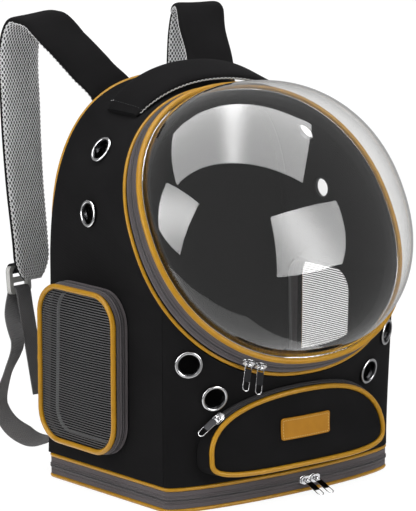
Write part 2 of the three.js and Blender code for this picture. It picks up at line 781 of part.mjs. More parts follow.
// Shoulder straps. Each row of a route gives where the middle of the strap runs: out from its root
// as a share of strapSpread, back as a share of strapReach, height as a share of strapRise above the
// root or of strapDrop below the top, and the turn of its width in degrees.
const strapRoutes = {
  left: [
    { out: 0, back: 0.08, rise: 0, turn: 0 },
    { out: 0.01, back: 0.1, rise: 0.25, turn: 0 },
    { out: 0.12, back: 0.3, rise: 0.5, turn: 0 },
    { out: 0.24, back: 0.56, rise: 0.78, turn: 0 },
    { out: 0.33, back: 0.82, rise: 1, turn: 4 },
    { out: 0.38, back: 1.02, rise: 0.99, turn: 10 },
    { out: 0.42, back: 1.12, rise: 0.75, turn: 13 },
    { out: 0.43, back: 1.1, fall: 0.36, turn: 14 },
    { out: 0.44, back: 1.02, fall: 0.62, turn: 17 },
    { out: 0.44, back: 0.92, fall: 0.86, turn: 20 },
    { out: 0.44, back: 0.88, fall: 1, turn: 20 },
  ],
  right: [
    { out: 0, back: 0.08, rise: 0, turn: 0 },
    { out: 0.01, back: 0.1, rise: 0.25, turn: 0 },
    { out: 0.1, back: 0.3, rise: 0.55, turn: 0 },
    { out: 0.18, back: 0.56, rise: 0.82, turn: 0 },
    { out: 0.29, back: 0.82, rise: 1.04, turn: 0 },
    { out: 0.34, back: 1, rise: 1.02, turn: 0 },
    { out: 0.34, back: 1.08, rise: 0.78, turn: 0 },
    { out: 0.31, back: 1.07, fall: 0.4, turn: 0 },
    { out: 0.28, back: 1.01, fall: 0.65, turn: 8 },
    { out: 0.27, back: 0.92, fall: 0.88, turn: 12 },
    { out: 0.27, back: 0.88, fall: 1, turn: 12 },
  ],
};
const strapTop = strapRootHeight + strapRise;

function strapMiddle(side, row) {
  const height = row.fall ? strapTop - strapDrop * row.fall : strapRootHeight + strapRise * row.rise;
  return V(side * (strapRoots + strapSpread * row.out), backLine + strapReach * row.back, height);
}

function strapRun(side, rows) {
  const path = new THREE.CatmullRomCurve3(rows.map((row) => strapMiddle(side, row)), false, "centripetal");
  const steps = 24;
  return range(steps + 1).map((i) => {
    const share = i / steps;
    const along = path.getTangent(share);
    const place = share * (rows.length - 1);
    const before = Math.min(Math.floor(place), rows.length - 2);
    const turn = THREE.MathUtils.lerp(rows[before].turn, rows[before + 1].turn, place - before);
    const across = X.clone().addScaledVector(along, -X.dot(along)).normalize()
      .applyAxisAngle(along, -radians(side * -1 * turn));
    return { point: path.getPoint(share), across, out: along.clone().cross(across).normalize(), share };
  });
}

// The last places of each strap, where its buckle is sewn on
const strapEnd = {};
for (const [sideName, side] of [["left", -1], ["right", 1]]) {
  const run = strapRun(side, strapRoutes[sideName]);
  add(`strap_${sideName}`, loft(run.map(({ point, across, out, share }) => {
    const tail = Math.max(0, share - 0.93) / 0.07;
    const width = strapWidth * (1 - 0.5 * tail * tail);
    return padSection(point, across, out, width, strapThickness * (1 - 0.4 * tail));
  }), false), blackCloth);
  strapEnd[sideName] = run.slice(-3);
}

// Ladder buckle behind each strap's end: a plate with two slots, the middle bar between them
function buckleShape() {
  const plate = new THREE.Shape(roundedRectangle(buckleWidth, buckleHeight, 4, 2)
    .map((point) => new THREE.Vector2(point.x, point.y)));
  const slotHeight = (buckleHeight - 3 * buckleBar) / 2;
  for (const middle of [1, -1].map((sign) => (sign * (slotHeight + buckleBar)) / 2)) {
    const slot = [[-1, -1], [-1, 1], [1, 1], [1, -1]].map(([sx, sy]) =>
      new THREE.Vector2((sx * (buckleWidth - 2 * buckleBar)) / 2, middle + (sy * slotHeight) / 2));
    plate.holes.push(new THREE.Path(slot));
  }
  return plate;
}

// Webbing: from the seam under the back panel up to the buckle, round its lowest bar and down again
// as the free tail. Route rows are shares: out of webFlare, back of webReach, height of the way from
// the foot to the buckle; turn is the twist of the band in degrees.
const webRoutes = {
  left: [
    { out: 0, back: 0, height: 0, turn: 0 },
    { out: 0, back: 0.08, height: 0, turn: 0 },
    { out: 0.18, back: 0.17, height: -0.01, turn: 0 },
    { out: 0.48, back: 0.25, height: 0.015, turn: 0 },
    { out: 0.84, back: 0.32, height: 0.125, turn: 10 },
    { out: 0.97, back: 0.37, height: 0.27, turn: 25 },
    { out: 0.72, back: 0.46, height: 0.475, turn: 40 },
    { out: 0.36, back: 0.6, height: 0.65, turn: 35 },
    { out: 0.05, back: 0.92, height: 0.84, turn: 22 },
  ],
  right: [
    { out: 0, back: 0, height: 0, turn: 0 },
    { out: 0, back: 0.08, height: 0, turn: 0 },
    { out: 0.06, back: 0.22, height: 0.03, turn: 0 },
    { out: 0.06, back: 0.42, height: 0.14, turn: 0 },
    { out: -0.15, back: 0.66, height: 0.36, turn: 0 },
    { out: -0.45, back: 0.85, height: 0.62, turn: 5 },
    { out: -0.62, back: 0.97, height: 0.82, turn: 10 },
  ],
};

// A flat band along a path of rows, each with its middle and the direction across the band
function band(rows, width, thickness, steps) {
  const path = new THREE.CatmullRomCurve3(rows.map((row) => row.point), false, "centripetal");
  return loft(range(steps + 1).map((i) => {
    const share = i / steps;
    const place = share * (rows.length - 1);
    const before = Math.min(Math.floor(place), rows.length - 2);
    const along = path.getTangent(share);
    const flat = square(along, mix(rows[before].across, rows[before + 1].across, place - before));
    const face = along.clone().cross(flat).normalize();
    const middle = path.getPoint(share);
    return [[-1, -1], [-1, 1], [1, 1], [1, -1]].map(([a, b]) => middle.clone()
      .addScaledVector(flat, (a * width) / 2).addScaledVector(face, (b * thickness) / 2));
  }), false);
}

for (const [sideName, side] of [["left", -1], ["right", 1]]) {
  const { point, across, out } = strapEnd[sideName][2];
  const outerSide = Math.sign(out.y);
  const away = out.clone().multiplyScalar(outerSide);
  const edgewise = across.clone().cross(away);
  const down = edgewise.clone().multiplyScalar(-Math.sign(edgewise.z));
  const up = down.clone().negate();
  const centre = point.clone().addScaledVector(away, buckleStand);
  const plate = new THREE.ExtrudeGeometry(buckleShape(), { depth: buckleThickness, bevelEnabled: false });
  plate.translate(0, 0, -buckleThickness / 2);
  const stood = placed(centre, across, up, across.clone().cross(up));
  add(`buckle_${sideName}`, plate.applyMatrix4(stood), palePlastic);

  // Points round one of the buckle's bars, by the swing from its outer side over the side that faces
  // the slot to its inner side
  const bend = Math.hypot(buckleBar, buckleThickness) / 2 + 2 * gap + webThickness / 2;
  const barMiddle = (buckleHeight - buckleBar) / 2;
  const round = (sign) => [-115, -60, -20, 20, 60, 90, 120, 180].map(radians).map((turn) => ({
    point: centre.clone().addScaledVector(down, sign * (barMiddle - bend * Math.sin(turn)))
      .addScaledVector(away, bend * Math.cos(turn)),
    across,
  }));
  const sewn = (index, lift) => ({
    point: strapEnd[sideName][index].point.clone().addScaledVector(strapEnd[sideName][index].out,
      outerSide * (strapThickness / 2 + 2 * gap + webThickness / 2 + lift)),
    across: strapEnd[sideName][index].across,
  });
  const doubled = webThickness + gap;
  const loopRows = [sewn(0, doubled), sewn(1, doubled), ...round(-1), sewn(1, 0), sewn(0, 0)];
  const loopSteps = 2 * loopRows.length - 2;
  add(`buckle_loop_${sideName}`, band(loopRows, webWidth, webThickness, loopSteps), blackCloth);

  const foot = V(side * (baseWidth / 2 - webFootInset), backLine + gap, webFootHeight);
  const route = webRoutes[sideName].map((row) => ({
    point: foot.clone().add(V(side * webFlare * row.out, webReach * row.back,
      (centre.z - barMiddle - foot.z) * row.height)),
    across: X.clone().applyAxisAngle(Z, radians(-side * row.turn)),
  }));
  const loop = round(1).slice(2);
  const tail = [0.15, 0.5, 1].map((share) => ({
    point: loop[loop.length - 1].point.clone().addScaledVector(down, tailLength * share)
      .addScaledVector(Y, -tailLean * share),
    across,
  }));
  const rows = [...route, ...loop, ...tail];
  add(`webbing_${sideName}`, band(rows, webWidth, webThickness, 2 * rows.length), greyWeb);
}

// Zip sliders and their pulls. A slider's bridge stands over its body, and the pull's bar turns in
// the bridge's opening. travel is the zip's direction, out leaves the tape and hinge is the bar.
const flatPoints = (rows) => rows.map(([x, y]) => new THREE.Vector2(x, y));
const shieldShape = new THREE.Shape(flatPoints([
  [-sliderLength / 2, -sliderWidth * 0.3], [-sliderLength * 0.2, -sliderWidth / 2],
  [sliderLength * 0.3, -sliderWidth / 2], [sliderLength / 2, -sliderWidth * 0.34],
  [sliderLength / 2, sliderWidth * 0.34], [sliderLength * 0.3, sliderWidth / 2],
  [-sliderLength * 0.2, sliderWidth / 2], [-sliderLength / 2, sliderWidth * 0.3],
]));

const pivotLift = sliderBody + bridgeOpening / 2 + seatLift;

function slider(name, seat, travel, out, hinge) {
  const body = new THREE.ExtrudeGeometry(shieldShape, { depth: sliderBody, bevelEnabled: false });
  const floor = seat.clone().addScaledVector(out, seatLift);
  body.applyMatrix4(placed(floor, travel, out.clone().cross(travel), out));
  const inner = bridgeOpening / 2;
  const outer = inner + bridgeBar;
  const arch = new THREE.Shape(flatPoints([[-outer, -outer], [outer, -outer], [outer, inner], [inner, outer],
    [-inner, outer], [-outer, inner]]));
  const opening = [[-inner, -inner], [-inner, inner], [inner, inner], [inner, -inner]];
  arch.holes.push(new THREE.Path(flatPoints(opening)));
  const bridge = new THREE.ExtrudeGeometry(arch, { depth: bridgeBreadth, bevelEnabled: false });
  bridge.translate(0, 0, -bridgeBreadth / 2);
  const pivot = seat.clone().addScaledVector(out, pivotLift);
  const rise = square(hinge, out);
  bridge.applyMatrix4(placed(pivot, rise.clone().cross(hinge), rise, hinge));
  add(name, fuse([body, bridge]), chrome);
  return pivot;
}

// A pull tab: a plate that hangs along its run from the bar, with an eye for the bridge and a loop
// at its tip
function pull(name, pivot, run, hinge) {
  const half = pullWidth / 2;
  const bar = pullThickness / 2;
  const tip = pullLength;
  const plate = new THREE.Shape();
  plate.moveTo(-bar, -half);
  plate.lineTo(tip - half, -half);
  plate.absarc(tip - half, 0, half, -Math.PI / 2, Math.PI / 2, false);
  plate.lineTo(-bar, half);
  plate.closePath();
  const eyeHalf = bridgeBreadth / 2 + 1.8;
  const eyeEnd = Math.hypot(bridgeOpening / 2 + bridgeBar, bridgeOpening / 2 + bridgeBar) + 0.6;
  const eye = [[bar, -eyeHalf], [bar, eyeHalf], [eyeEnd, eyeHalf], [eyeEnd, -eyeHalf]];
  plate.holes.push(new THREE.Path(flatPoints(eye)));
  const loop = new THREE.Path();
  const loopRadius = pullWidth / 2 - 1.6;
  loop.moveTo(tip * 0.62, -loopRadius);
  loop.lineTo(tip * 0.62, loopRadius);
  loop.lineTo(tip - half, loopRadius);
  loop.absarc(tip - half, 0, loopRadius, Math.PI / 2, -Math.PI / 2, true);
  plate.holes.push(loop);
  const tab = new THREE.ExtrudeGeometry(plate,
    { depth: pullThickness, bevelEnabled: false, curveSegments: 3 });
  tab.translate(0, 0, -pullThickness / 2);
  add(name, tab.applyMatrix4(placed(pivot, run, hinge, run.clone().cross(hinge).normalize())), gunmetal);
}

// Two on the dome's zip, left of the lowest point, hanging plumb
const ringSliders = { left: 79, right: 66 };
for (const [sideName, offset] of Object.entries(ringSliders)) {
  const share = offset / (ringWidth / 2);
  const turn = -Math.PI / 2 - Math.asin(share ** (ringFullness / 2));
  const start = ringPoint(turn, tapeStart[0], tapeStart[1]);
  const end = ringPoint(turn, tapeEnd[0], tapeEnd[1]);
  const near = ringPoint(turn + 0.01, tapeStart[0], tapeStart[1]);
  const travel = near.sub(start).normalize();
  const out = end.clone().sub(start).normalize().cross(travel).negate();
  const facing = out.z > 0 ? out.negate() : out;
  const away = square(travel, facing);
  const pivot = slider(`ring_slider_${sideName}`, mix(start, end, 0.5), travel, away, travel);
  const plumb = Z.clone().negate();
  pull(`ring_pull_${sideName}`, pivot, mix(square(travel, plumb), plumb, 0.6).normalize(), travel);
}

// Two on the base zip, right of the middle, their pulls lying forward on the ground
const baseSliders = { left: 14, right: 27 };
const basePullDrop = 22;
for (const [sideName, offset] of Object.entries(baseSliders)) {
  const turn = Math.asin(offset / (frontWidth / 2));
  const point = frontCurve(turn).setZ((baseTapeBottom + baseTapeTop) / 2);
  const travel = frontCurve(turn + 0.01).sub(frontCurve(turn - 0.01)).normalize();
  const out = V(travel.y, -travel.x, 0);
  const pivot = slider(`base_slider_${sideName}`, point.addScaledVector(out, -1), travel, out, travel);
  pull(`base_pull_${sideName}`, pivot, out.clone().applyAxisAngle(travel, radians(basePullDrop)), travel);
}

// One on the pocket's zip, its pull lying down along the tape
const pocketSliderTurn = 146;
const pocketTape = (turn, share) => {
  const low = pocketOutline(0, 360)[turn];
  const high = pocketOutline(1, 360)[turn];
  const foot = offFront(low.x * pocketSpread, low.y, pocketLift);
  return mix(foot, offFront(high.x, high.y, pocketTapeTop(high.y)), share);
};
const pocketSeat = pocketTape(pocketSliderTurn, 0.5);
const pocketRun = pocketTape(pocketSliderTurn + 1, 0.5).sub(pocketSeat).normalize();
const pocketWallRise = pocketTape(pocketSliderTurn, 1).sub(pocketTape(pocketSliderTurn, 0));
const pocketHinge = square(pocketRun, pocketWallRise);
const pocketAway = pocketRun.clone().cross(pocketHinge);
const pocketOut = pocketAway.z > 0 ? pocketAway : pocketAway.negate();
const pocketPivot = slider("pocket_slider", pocketSeat, pocketRun, pocketOut, pocketHinge);
pull("pocket_pull", pocketPivot, pocketRun, pocketHinge);

export default backpack;
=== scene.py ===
import math
import bpy
import numpy as np
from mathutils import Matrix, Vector


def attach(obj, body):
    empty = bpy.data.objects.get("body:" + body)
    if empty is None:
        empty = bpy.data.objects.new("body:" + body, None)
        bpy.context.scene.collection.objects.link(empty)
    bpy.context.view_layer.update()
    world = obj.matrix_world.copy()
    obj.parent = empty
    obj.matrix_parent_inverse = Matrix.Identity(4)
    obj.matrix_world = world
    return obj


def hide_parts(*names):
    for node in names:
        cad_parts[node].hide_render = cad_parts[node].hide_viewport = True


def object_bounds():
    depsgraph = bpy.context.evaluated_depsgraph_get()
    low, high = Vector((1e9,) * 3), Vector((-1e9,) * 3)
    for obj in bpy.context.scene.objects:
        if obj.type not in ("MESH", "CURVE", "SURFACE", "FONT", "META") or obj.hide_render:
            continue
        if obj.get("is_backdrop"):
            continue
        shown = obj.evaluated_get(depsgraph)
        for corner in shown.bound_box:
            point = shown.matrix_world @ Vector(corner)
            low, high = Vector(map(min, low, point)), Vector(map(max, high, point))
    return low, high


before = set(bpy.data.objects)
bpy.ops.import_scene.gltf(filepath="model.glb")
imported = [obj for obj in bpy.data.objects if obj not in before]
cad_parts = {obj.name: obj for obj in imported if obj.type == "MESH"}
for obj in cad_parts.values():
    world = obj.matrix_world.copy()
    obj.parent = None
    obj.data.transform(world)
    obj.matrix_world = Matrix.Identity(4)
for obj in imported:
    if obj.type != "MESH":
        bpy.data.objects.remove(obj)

cad_box = [list(corner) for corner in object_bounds()]

# The studio: a camera a little above the floor and to the left of the dome, a white sweep behind the
# backpack, one wide lamp overhead and two tall ones, at the left and in front. Cards that only
# mirrors see stand in for the lamps' panels on the dome and the metal, and a card on the floor is a
# painted reflection of the lit floor.
camera = bpy.data.objects.new("camera", bpy.data.cameras.new("camera"))
camera.data.lens = 159.62
camera.data.sensor_width = 36
camera.data.clip_end = 30
camera.location = (-1.4310, -1.8492, 0.6456)
camera.rotation_euler = (Vector((0, 0.032, 0.2288)) - camera.location).to_track_quat("-Z", "Y").to_euler()
bpy.context.scene.collection.objects.link(camera)
bpy.context.scene.camera = camera
bpy.context.scene.view_settings.view_transform = "Standard"


def node(tree, kind, settings=None, **inputs):
    """A node with its settings and inputs. An input is named by its socket, or iN for the Nth."""
    made = tree.nodes.new(kind)
    for key, value in (settings or {}).items():
        setattr(made, key, value)
    for key, value in inputs.items():
        socket = made.inputs[int(key[1:])] if key[1:].isdigit() else made.inputs[key.replace("_", " ")]
        if isinstance(value, bpy.types.NodeSocket):
            tree.links.new(value, socket)
        else:
            socket.default_value = value
    return made


def plain(name, colour, roughness, **sockets):
    """A material with one Principled shader, its tree and the shader."""
    material = bpy.data.materials.new(name)
    material.use_nodes = True
    shader = material.node_tree.nodes["Principled BSDF"]
    shader.inputs["Base Color"].default_value = (*colour, 1)
    shader.inputs["Roughness"].default_value = roughness
    for key, value in sockets.items():
        shader.inputs[key.replace("_", " ")].default_value = value
    return material, material.node_tree, shader


def maths(tree, operation, *values):
    return node(tree, "ShaderNodeMath", {"operation": operation},
                **{f"i{k}": value for k, value in enumerate(values)}).outputs[0]


def stage_panel(name, corners, material):
    mesh = bpy.data.meshes.new(name)
    mesh.from_pydata(corners, [], [tuple(range(len(corners)))])
    mesh.materials.append(material)
    panel = bpy.data.objects.new(name, mesh)
    bpy.context.scene.collection.objects.link(panel)
    panel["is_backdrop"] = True
    return panel


paper, tree, shader = plain("white_paper", (0.93, 0.93, 0.93), 0.9, Emission_Color=(1, 1, 1, 1), Emission_Strength=0.15)
bright = node(tree, "ShaderNodeEmission", Color=(1, 1, 1, 1), Strength=1.05)
seen = maths(tree, "MULTIPLY", node(tree, "ShaderNodeLightPath").outputs["Is Camera Ray"], 0.86)
lit = node(tree, "ShaderNodeMixShader", i0=seen, i1=shader.outputs[0], i2=bright.outputs[0])
mirrored = maths(tree, "GREATER_THAN", node(tree, "ShaderNodeLightPath").outputs["Glossy Depth"], 0.5)
behind = node(tree, "ShaderNodeNewGeometry").outputs["Backfacing"]
unseen = node(tree, "ShaderNodeBsdfTransparent", Color=(1, 1, 1, 1))
mixed = node(tree, "ShaderNodeMixShader", i0=maths(tree, "MAXIMUM", mirrored, behind), i1=lit.outputs[0],
             i2=unseen.outputs[0])
tree.links.new(mixed.outputs[0], tree.nodes["Material Output"].inputs["Surface"])
view_along = Vector((0.612, 0.791, 0))
view_right = Vector((0.791, -0.612, 0))
sweep_profile = [(-3.2, 0), (1.3, 0)] + [(1.3 + 0.9 * math.sin(a), 0.9 - 0.9 * math.cos(a))
                                         for a in np.radians(np.arange(10, 91, 10))] + [(2.2, 3.4)]
sweep_points = [view_along * d + view_right * side + Vector((0, 0, h)) for d, h in sweep_profile for side in (-3, 3)]
sweep = bpy.data.meshes.new("sweep")
sweep.from_pydata(sweep_points, [], [(2 * i, 2 * i + 1, 2 * i + 3, 2 * i + 2) for i in range(len(sweep_profile) - 1)])
sweep.shade_smooth()
sweep.materials.append(paper)
sweep_object = bpy.data.objects.new("sweep", sweep)
bpy.context.scene.collection.objects.link(sweep_object)
sweep_object.visible_glossy = False
sweep_object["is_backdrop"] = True


def card(name, corners, strength, centre, across, spread):
    """A glowing panel that only mirror-like surfaces see, with a brighter streak through its centre."""
    material = bpy.data.materials.new(name)
    material.use_nodes = True
    tree = material.node_tree
    tree.nodes.clear()
    place = node(tree, "ShaderNodeTexCoord").outputs["Object"]
    off = node(tree, "ShaderNodeVectorMath", {"operation": "SUBTRACT"}, i0=place, i1=centre)
    aside = node(tree, "ShaderNodeVectorMath", {"operation": "DOT_PRODUCT"}, i0=off.outputs[0],
                 i1=tuple(Vector(across).normalized() / spread))
    fade = maths(tree, "EXPONENT", maths(tree, "MULTIPLY", maths(tree, "POWER", aside.outputs["Value"], 2.0), -1.0))
    glow = node(tree, "ShaderNodeEmission", Color=(1, 1, 1, 1),
                Strength=maths(tree, "MULTIPLY", maths(tree, "MULTIPLY_ADD", fade, 0.75, 0.75), strength))
    mirrored = maths(tree, "GREATER_THAN", node(tree, "ShaderNodeLightPath").outputs["Glossy Depth"], 0.5)
    unseen = node(tree, "ShaderNodeBsdfTransparent", Color=(1, 1, 1, 1))
    mixed = node(tree, "ShaderNodeMixShader", i0=mirrored, i1=unseen.outputs[0], i2=glow.outputs[0])
    node(tree, "ShaderNodeOutputMaterial", Surface=mixed.outputs[0])
    panel = stage_panel(name, corners, material)
    panel.visible_camera = panel.visible_diffuse = panel.visible_shadow = False


card("overhead_card", [(0.96, -1.55, 1.75), (-2.17, 0.17, 1.75), (-0.55, 1.18, 1.75), (1.23, -0.26, 1.75)], 6.6,
     (-0.066, -0.442, 1.75), (0.87, -0.49, 0), 0.17)
card("left_card", [(-1.65, -0.86, 1.41), (-1.65, 0.61, 1.28), (-1.65, 1.03, 0.2), (-1.65, 0.13, 0.03)], 5.8,
     (-1.65, 0.2, 0.75), (0, 0.3, 1), 0.4)
card("front_card", [(0.0, -2.35, 1.7), (2.34, -2.35, 2.05), (1.7, -2.35, 0.28), (-0.2, -2.35, 0.03)], 6.4,
     (0.75, -2.35, 1.1), (1, 0, 0.3), 0.6)
# Painted reflection: the floor card is no lamp panel but a glowing patch for the lit floor that the dome mirrors.
card("floor_card", [(-0.75, 0.45, 0.001), (-0.6, 0.08, 0.001), (-0.4, -0.155, 0.001), (-0.19, -0.285, 0.001),
                    (0.05, -0.19, 0.001), (0.2, -0.05, 0.001), (0.3, 0.45, 0.001)], 1.5, (0, 0.1, 0), (0.4, 1, 0), 0.16)


def lamp(name, spot, aim, width, height, power):
    light = bpy.data.lights.new(name, "AREA")
    light.shape = "RECTANGLE"
    light.size, light.size_y, light.energy = width, height, power
    lamp_object = bpy.data.objects.new(name, light)
    lamp_object.location = spot
    lamp_object.rotation_euler = (Vector(aim) - Vector(spot)).to_track_quat("-Z", "Y").to_euler()
    lamp_object.visible_glossy = lamp_object.visible_transmission = False
    bpy.context.scene.collection.objects.link(lamp_object)


lamp("overhead_lamp", (-0.3, -0.3, 1.9), (0, 0, 0.2), 2.4, 1.6, 26)
lamp("left_lamp", (-1.9, -0.4, 1.0), (0, 0, 0.25), 1.2, 1.4, 14)
lamp("front_lamp", (1.0, -2.2, 1.2), (0, 0, 0.2), 1.6, 1.4, 16)
world = bpy.data.worlds.new("studio")
bpy.context.scene.world = world
world.use_nodes = True
sky = world.node_tree.nodes["Background"]
sky.inputs["Color"].default_value = (1, 1, 1, 1)
mirrored = maths(world.node_tree, "MINIMUM", node(world.node_tree, "ShaderNodeLightPath").outputs["Glossy Depth"], 1.0)
dimmed = maths(world.node_tree, "MULTIPLY_ADD", mirrored, 0.06, 0.34)
world.node_tree.links.new(dimmed, sky.inputs["Strength"])

# The base: a black board under the bag, and round it a zip between two amber pipings, so that the
# board with its tray can be zipped off. Piping is a cord wrapped in faux leather.
# Lengths in this file are in millimetres until a mesh is made from them.
body_width, base_width, body_height = 314, 324, 420
front_line, back_line, front_width, front_bulge = -88, 100, 294, 26
piping_radius, gap = 2.2, 0.3
lower_piping_height = piping_radius + gap
base_tape_bottom = lower_piping_height + piping_radius + gap
base_tape_top = base_tape_bottom + 17
upper_piping_height = base_tape_top + piping_radius + gap
wall_bottom = upper_piping_height + piping_radius + gap
X, Y, Z = np.eye(3)


def unit(vectors):
    return vectors / np.maximum(np.linalg.norm(vectors, axis=-1, keepdims=True), 1e-9)


def make(name, points, faces, material, uvs=None, angle=50):
    """A mesh object in metres from points in millimetres, its faces turned outwards."""
    mesh = bpy.data.meshes.new(name)
    mesh.from_pydata((np.asarray(points) * 0.001).tolist(), [], [list(map(int, face)) for face in faces])
    if uvs is not None:
        layer = mesh.uv_layers.new(name="UVMap")
        layer.data.foreach_set("uv", np.asarray(uvs, np.float32).ravel())
    mesh.validate()
    volume = 0.0
    for face in mesh.polygons:
        corners = [mesh.vertices[v].co for v in face.vertices]
        for second, third in zip(corners[1:-1], corners[2:]):
            volume += corners[0].dot(second.cross(third))
    if volume < 0:
        mesh.flip_normals()
    mesh.shade_smooth()
    mesh.set_sharp_from_angle(angle=math.radians(angle))
    for one in material if isinstance(material, (list, tuple)) else [material]:
        mesh.materials.append(one)
    piece = bpy.data.objects.new(name, mesh)
    bpy.context.scene.collection.objects.link(piece)
    return piece


def skin(grid, along, around, closed_along, closed_around):
    """Faces and UVs of a grid of points. along and around are the two lengths in millimetres."""
    n, m = grid.shape[:2]
    i, j = np.meshgrid(np.arange(n if closed_along else n - 1), np.arange(m if closed_around else m - 1),
                       indexing="ij")
    i, j = i.ravel(), j.ravel()
    up, right = (i + 1) % n, (j + 1) % m
    faces = np.stack([i * m + j, up * m + j, up * m + right, i * m + right], 1)
    corner = lambda a, b: np.stack([around[b], along[a]], 1)
    uvs = np.stack([corner(i, j), corner(i + 1, j), corner(i + 1, j + 1), corner(i, j + 1)], 1)
    return faces, uvs


def lengths(row, closed):
    """Running length along a row of points, one more value when the row closes."""
    points = np.vstack([row, row[:1]]) if closed else row
    return np.concatenate([[0], np.cumsum(np.linalg.norm(np.diff(points, axis=0), axis=1))])


def loft(name, grid, material, closed_along=False, angle=50, paint=None):
    """A body through closed sections, with flat ends when the path is open. paint gives the material's
    number for each span round the section."""
    n, m = grid.shape[:2]
    faces, uvs = skin(grid, lengths(grid.mean(1), closed_along), lengths(grid[n // 2], True), closed_along, True)
    faces, uvs = faces.tolist(), uvs.reshape(-1, 2).tolist()
    if not closed_along:
        for ring in (list(range(m))[::-1], list(range((n - 1) * m, n * m))):
            faces.append(ring)
            uvs += [[0.0, 0.0]] * m
    piece = make(name, grid.reshape(-1, 3), faces, material, uvs, angle)
    if paint is not None:
        numbers = np.zeros(len(faces), np.int32)
        numbers[:len(faces) // m * m] = np.tile(paint, len(faces) // m)
        piece.data.polygons.foreach_set("material_index", numbers)
    return piece


def wall(name, outer, inwards, thickness, material, closed_along=False, angle=50, paint=None):
    """A sheet of even thickness under a grid of points, closed at its edges. paint gives the
    material's number for each span across it."""
    n, m = outer.shape[:2]
    inner = outer + inwards * thickness
    along, around = lengths(outer[:, m // 2], closed_along), lengths(outer[n // 2], False)
    faces, uvs = skin(outer, along, around, closed_along, False)
    inner_faces = faces[:, ::-1] + n * m
    edge = lambda row: (np.stack([row[:-1], row[:-1] + n * m, row[1:] + n * m, row[1:]], 1))
    rims = []
    index = np.arange(n * m).reshape(n, m)
    run = np.concatenate([index, index[:1]]) if closed_along else index
    rims += [edge(run[:, 0]), edge(run[:, -1])[:, ::-1]]
    if not closed_along:
        rims += [edge(index[0])[:, ::-1], edge(index[-1])]
    rims = np.concatenate(rims)
    all_faces = np.concatenate([faces, inner_faces, rims])
    all_uvs = np.concatenate([uvs.reshape(-1, 2), uvs[:, ::-1].reshape(-1, 2), np.zeros((4 * len(rims), 2))])
    piece = make(name, np.concatenate([outer.reshape(-1, 3), inner.reshape(-1, 3)]), all_faces, material, all_uvs,
                 angle)
    if paint is not None:
        numbers = np.zeros(len(all_faces), np.int32)
        numbers[:len(faces)] = np.tile(paint, len(faces) // len(paint))
        piece.data.polygons.foreach_set("material_index", numbers)
    return piece


def tangents(points, closed):
    if closed:
        return unit(np.roll(points, -1, 0) - np.roll(points, 1, 0))
    return unit(np.gradient(points, axis=0))


def tube(name, points, ups, radius, material, closed=True, sides=12, flat=1.0):
    """A cord through points. radius may change along it, and flat squeezes it towards its ups."""
    along = tangents(points, closed)
    b = unit(ups - along * (ups * along).sum(-1, keepdims=True))
    a = np.cross(along, b)
    turn = 2 * np.pi * (np.arange(sides) + 0.5) / sides
    size = np.broadcast_to(radius, len(points))[:, None, None]
    grid = (points[:, None] + size * (a[:, None] * np.cos(turn)[:, None] + flat * b[:, None] * np.sin(turn)[:, None]))
    return loft(name, grid, material, closed)


def resample(points, closed, step):
    """Points at even steps along a line, with the fractional place of each."""
    run = lengths(points, closed)
    count = max(int(round(run[-1] / step)), 2)
    at = np.linspace(0, run[-1], count, endpoint=not closed)
    rows = np.vstack([points, points[:1]]) if closed else points
    place = np.interp(at, run, np.arange(len(run)))
    return np.stack([np.interp(at, run, rows[:, k]) for k in range(3)], 1), place


def carried(values, place, closed):
    rows = np.vstack([values, values[:1]]) if closed else values
    return unit(np.stack([np.interp(place, np.arange(len(rows)), rows[:, k]) for k in range(3)], 1))


def ready(piece, slot, *nodes, body="carrier"):
    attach(piece, body)
    if nodes:
        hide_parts(*nodes)
    return piece


def marks_tree():
    """Geometry Nodes: one small rounded bar on each guide point, its length along the guide's along
    attribute and its height along its out attribute. Used for zip teeth and stitches."""
    tree = bpy.data.node_groups.new("rounded_bars", "GeometryNodeTree")
    tree.interface.new_socket("Geometry", in_out="INPUT", socket_type="NodeSocketGeometry")
    for name in ("Length", "Width", "Height"):
        tree.interface.new_socket(name, in_out="INPUT", socket_type="NodeSocketFloat")
    tree.interface.new_socket("Material", in_out="INPUT", socket_type="NodeSocketMaterial")
    tree.interface.new_socket("Geometry", in_out="OUTPUT", socket_type="NodeSocketGeometry")
    given = tree.nodes.new("NodeGroupInput").outputs
    attribute = lambda name: node(tree, "GeometryNodeInputNamedAttribute", {"data_type": "FLOAT_VECTOR"}, Name=name)
    lengthwise = node(tree, "FunctionNodeAlignRotationToVector", {"axis": "X"}, Vector=attribute("along").outputs[0])
    outwards = node(tree, "FunctionNodeAlignRotationToVector", {"axis": "Z", "pivot_axis": "X"},
                    Rotation=lengthwise.outputs[0], Vector=attribute("out").outputs[0])
    ball = node(tree, "GeometryNodeMeshUVSphere", Segments=6, Rings=5, Radius=0.5)
    smooth = node(tree, "GeometryNodeSetShadeSmooth", Geometry=ball.outputs[0])
    scale = node(tree, "ShaderNodeCombineXYZ", X=given["Length"], Y=given["Width"], Z=given["Height"])
    bar = node(tree, "GeometryNodeTransform", Geometry=smooth.outputs[0], Scale=scale.outputs[0])
    placed = node(tree, "GeometryNodeInstanceOnPoints", Points=given["Geometry"], Instance=bar.outputs[0],
                  Rotation=outwards.outputs[0])
    real = node(tree, "GeometryNodeRealizeInstances", Geometry=placed.outputs[0])
    painted = node(tree, "GeometryNodeSetMaterial", Geometry=real.outputs[0], Material=given["Material"])
    node(tree, "NodeGroupOutput", Geometry=painted.outputs[0])
    return tree


rounded_bars = marks_tree()


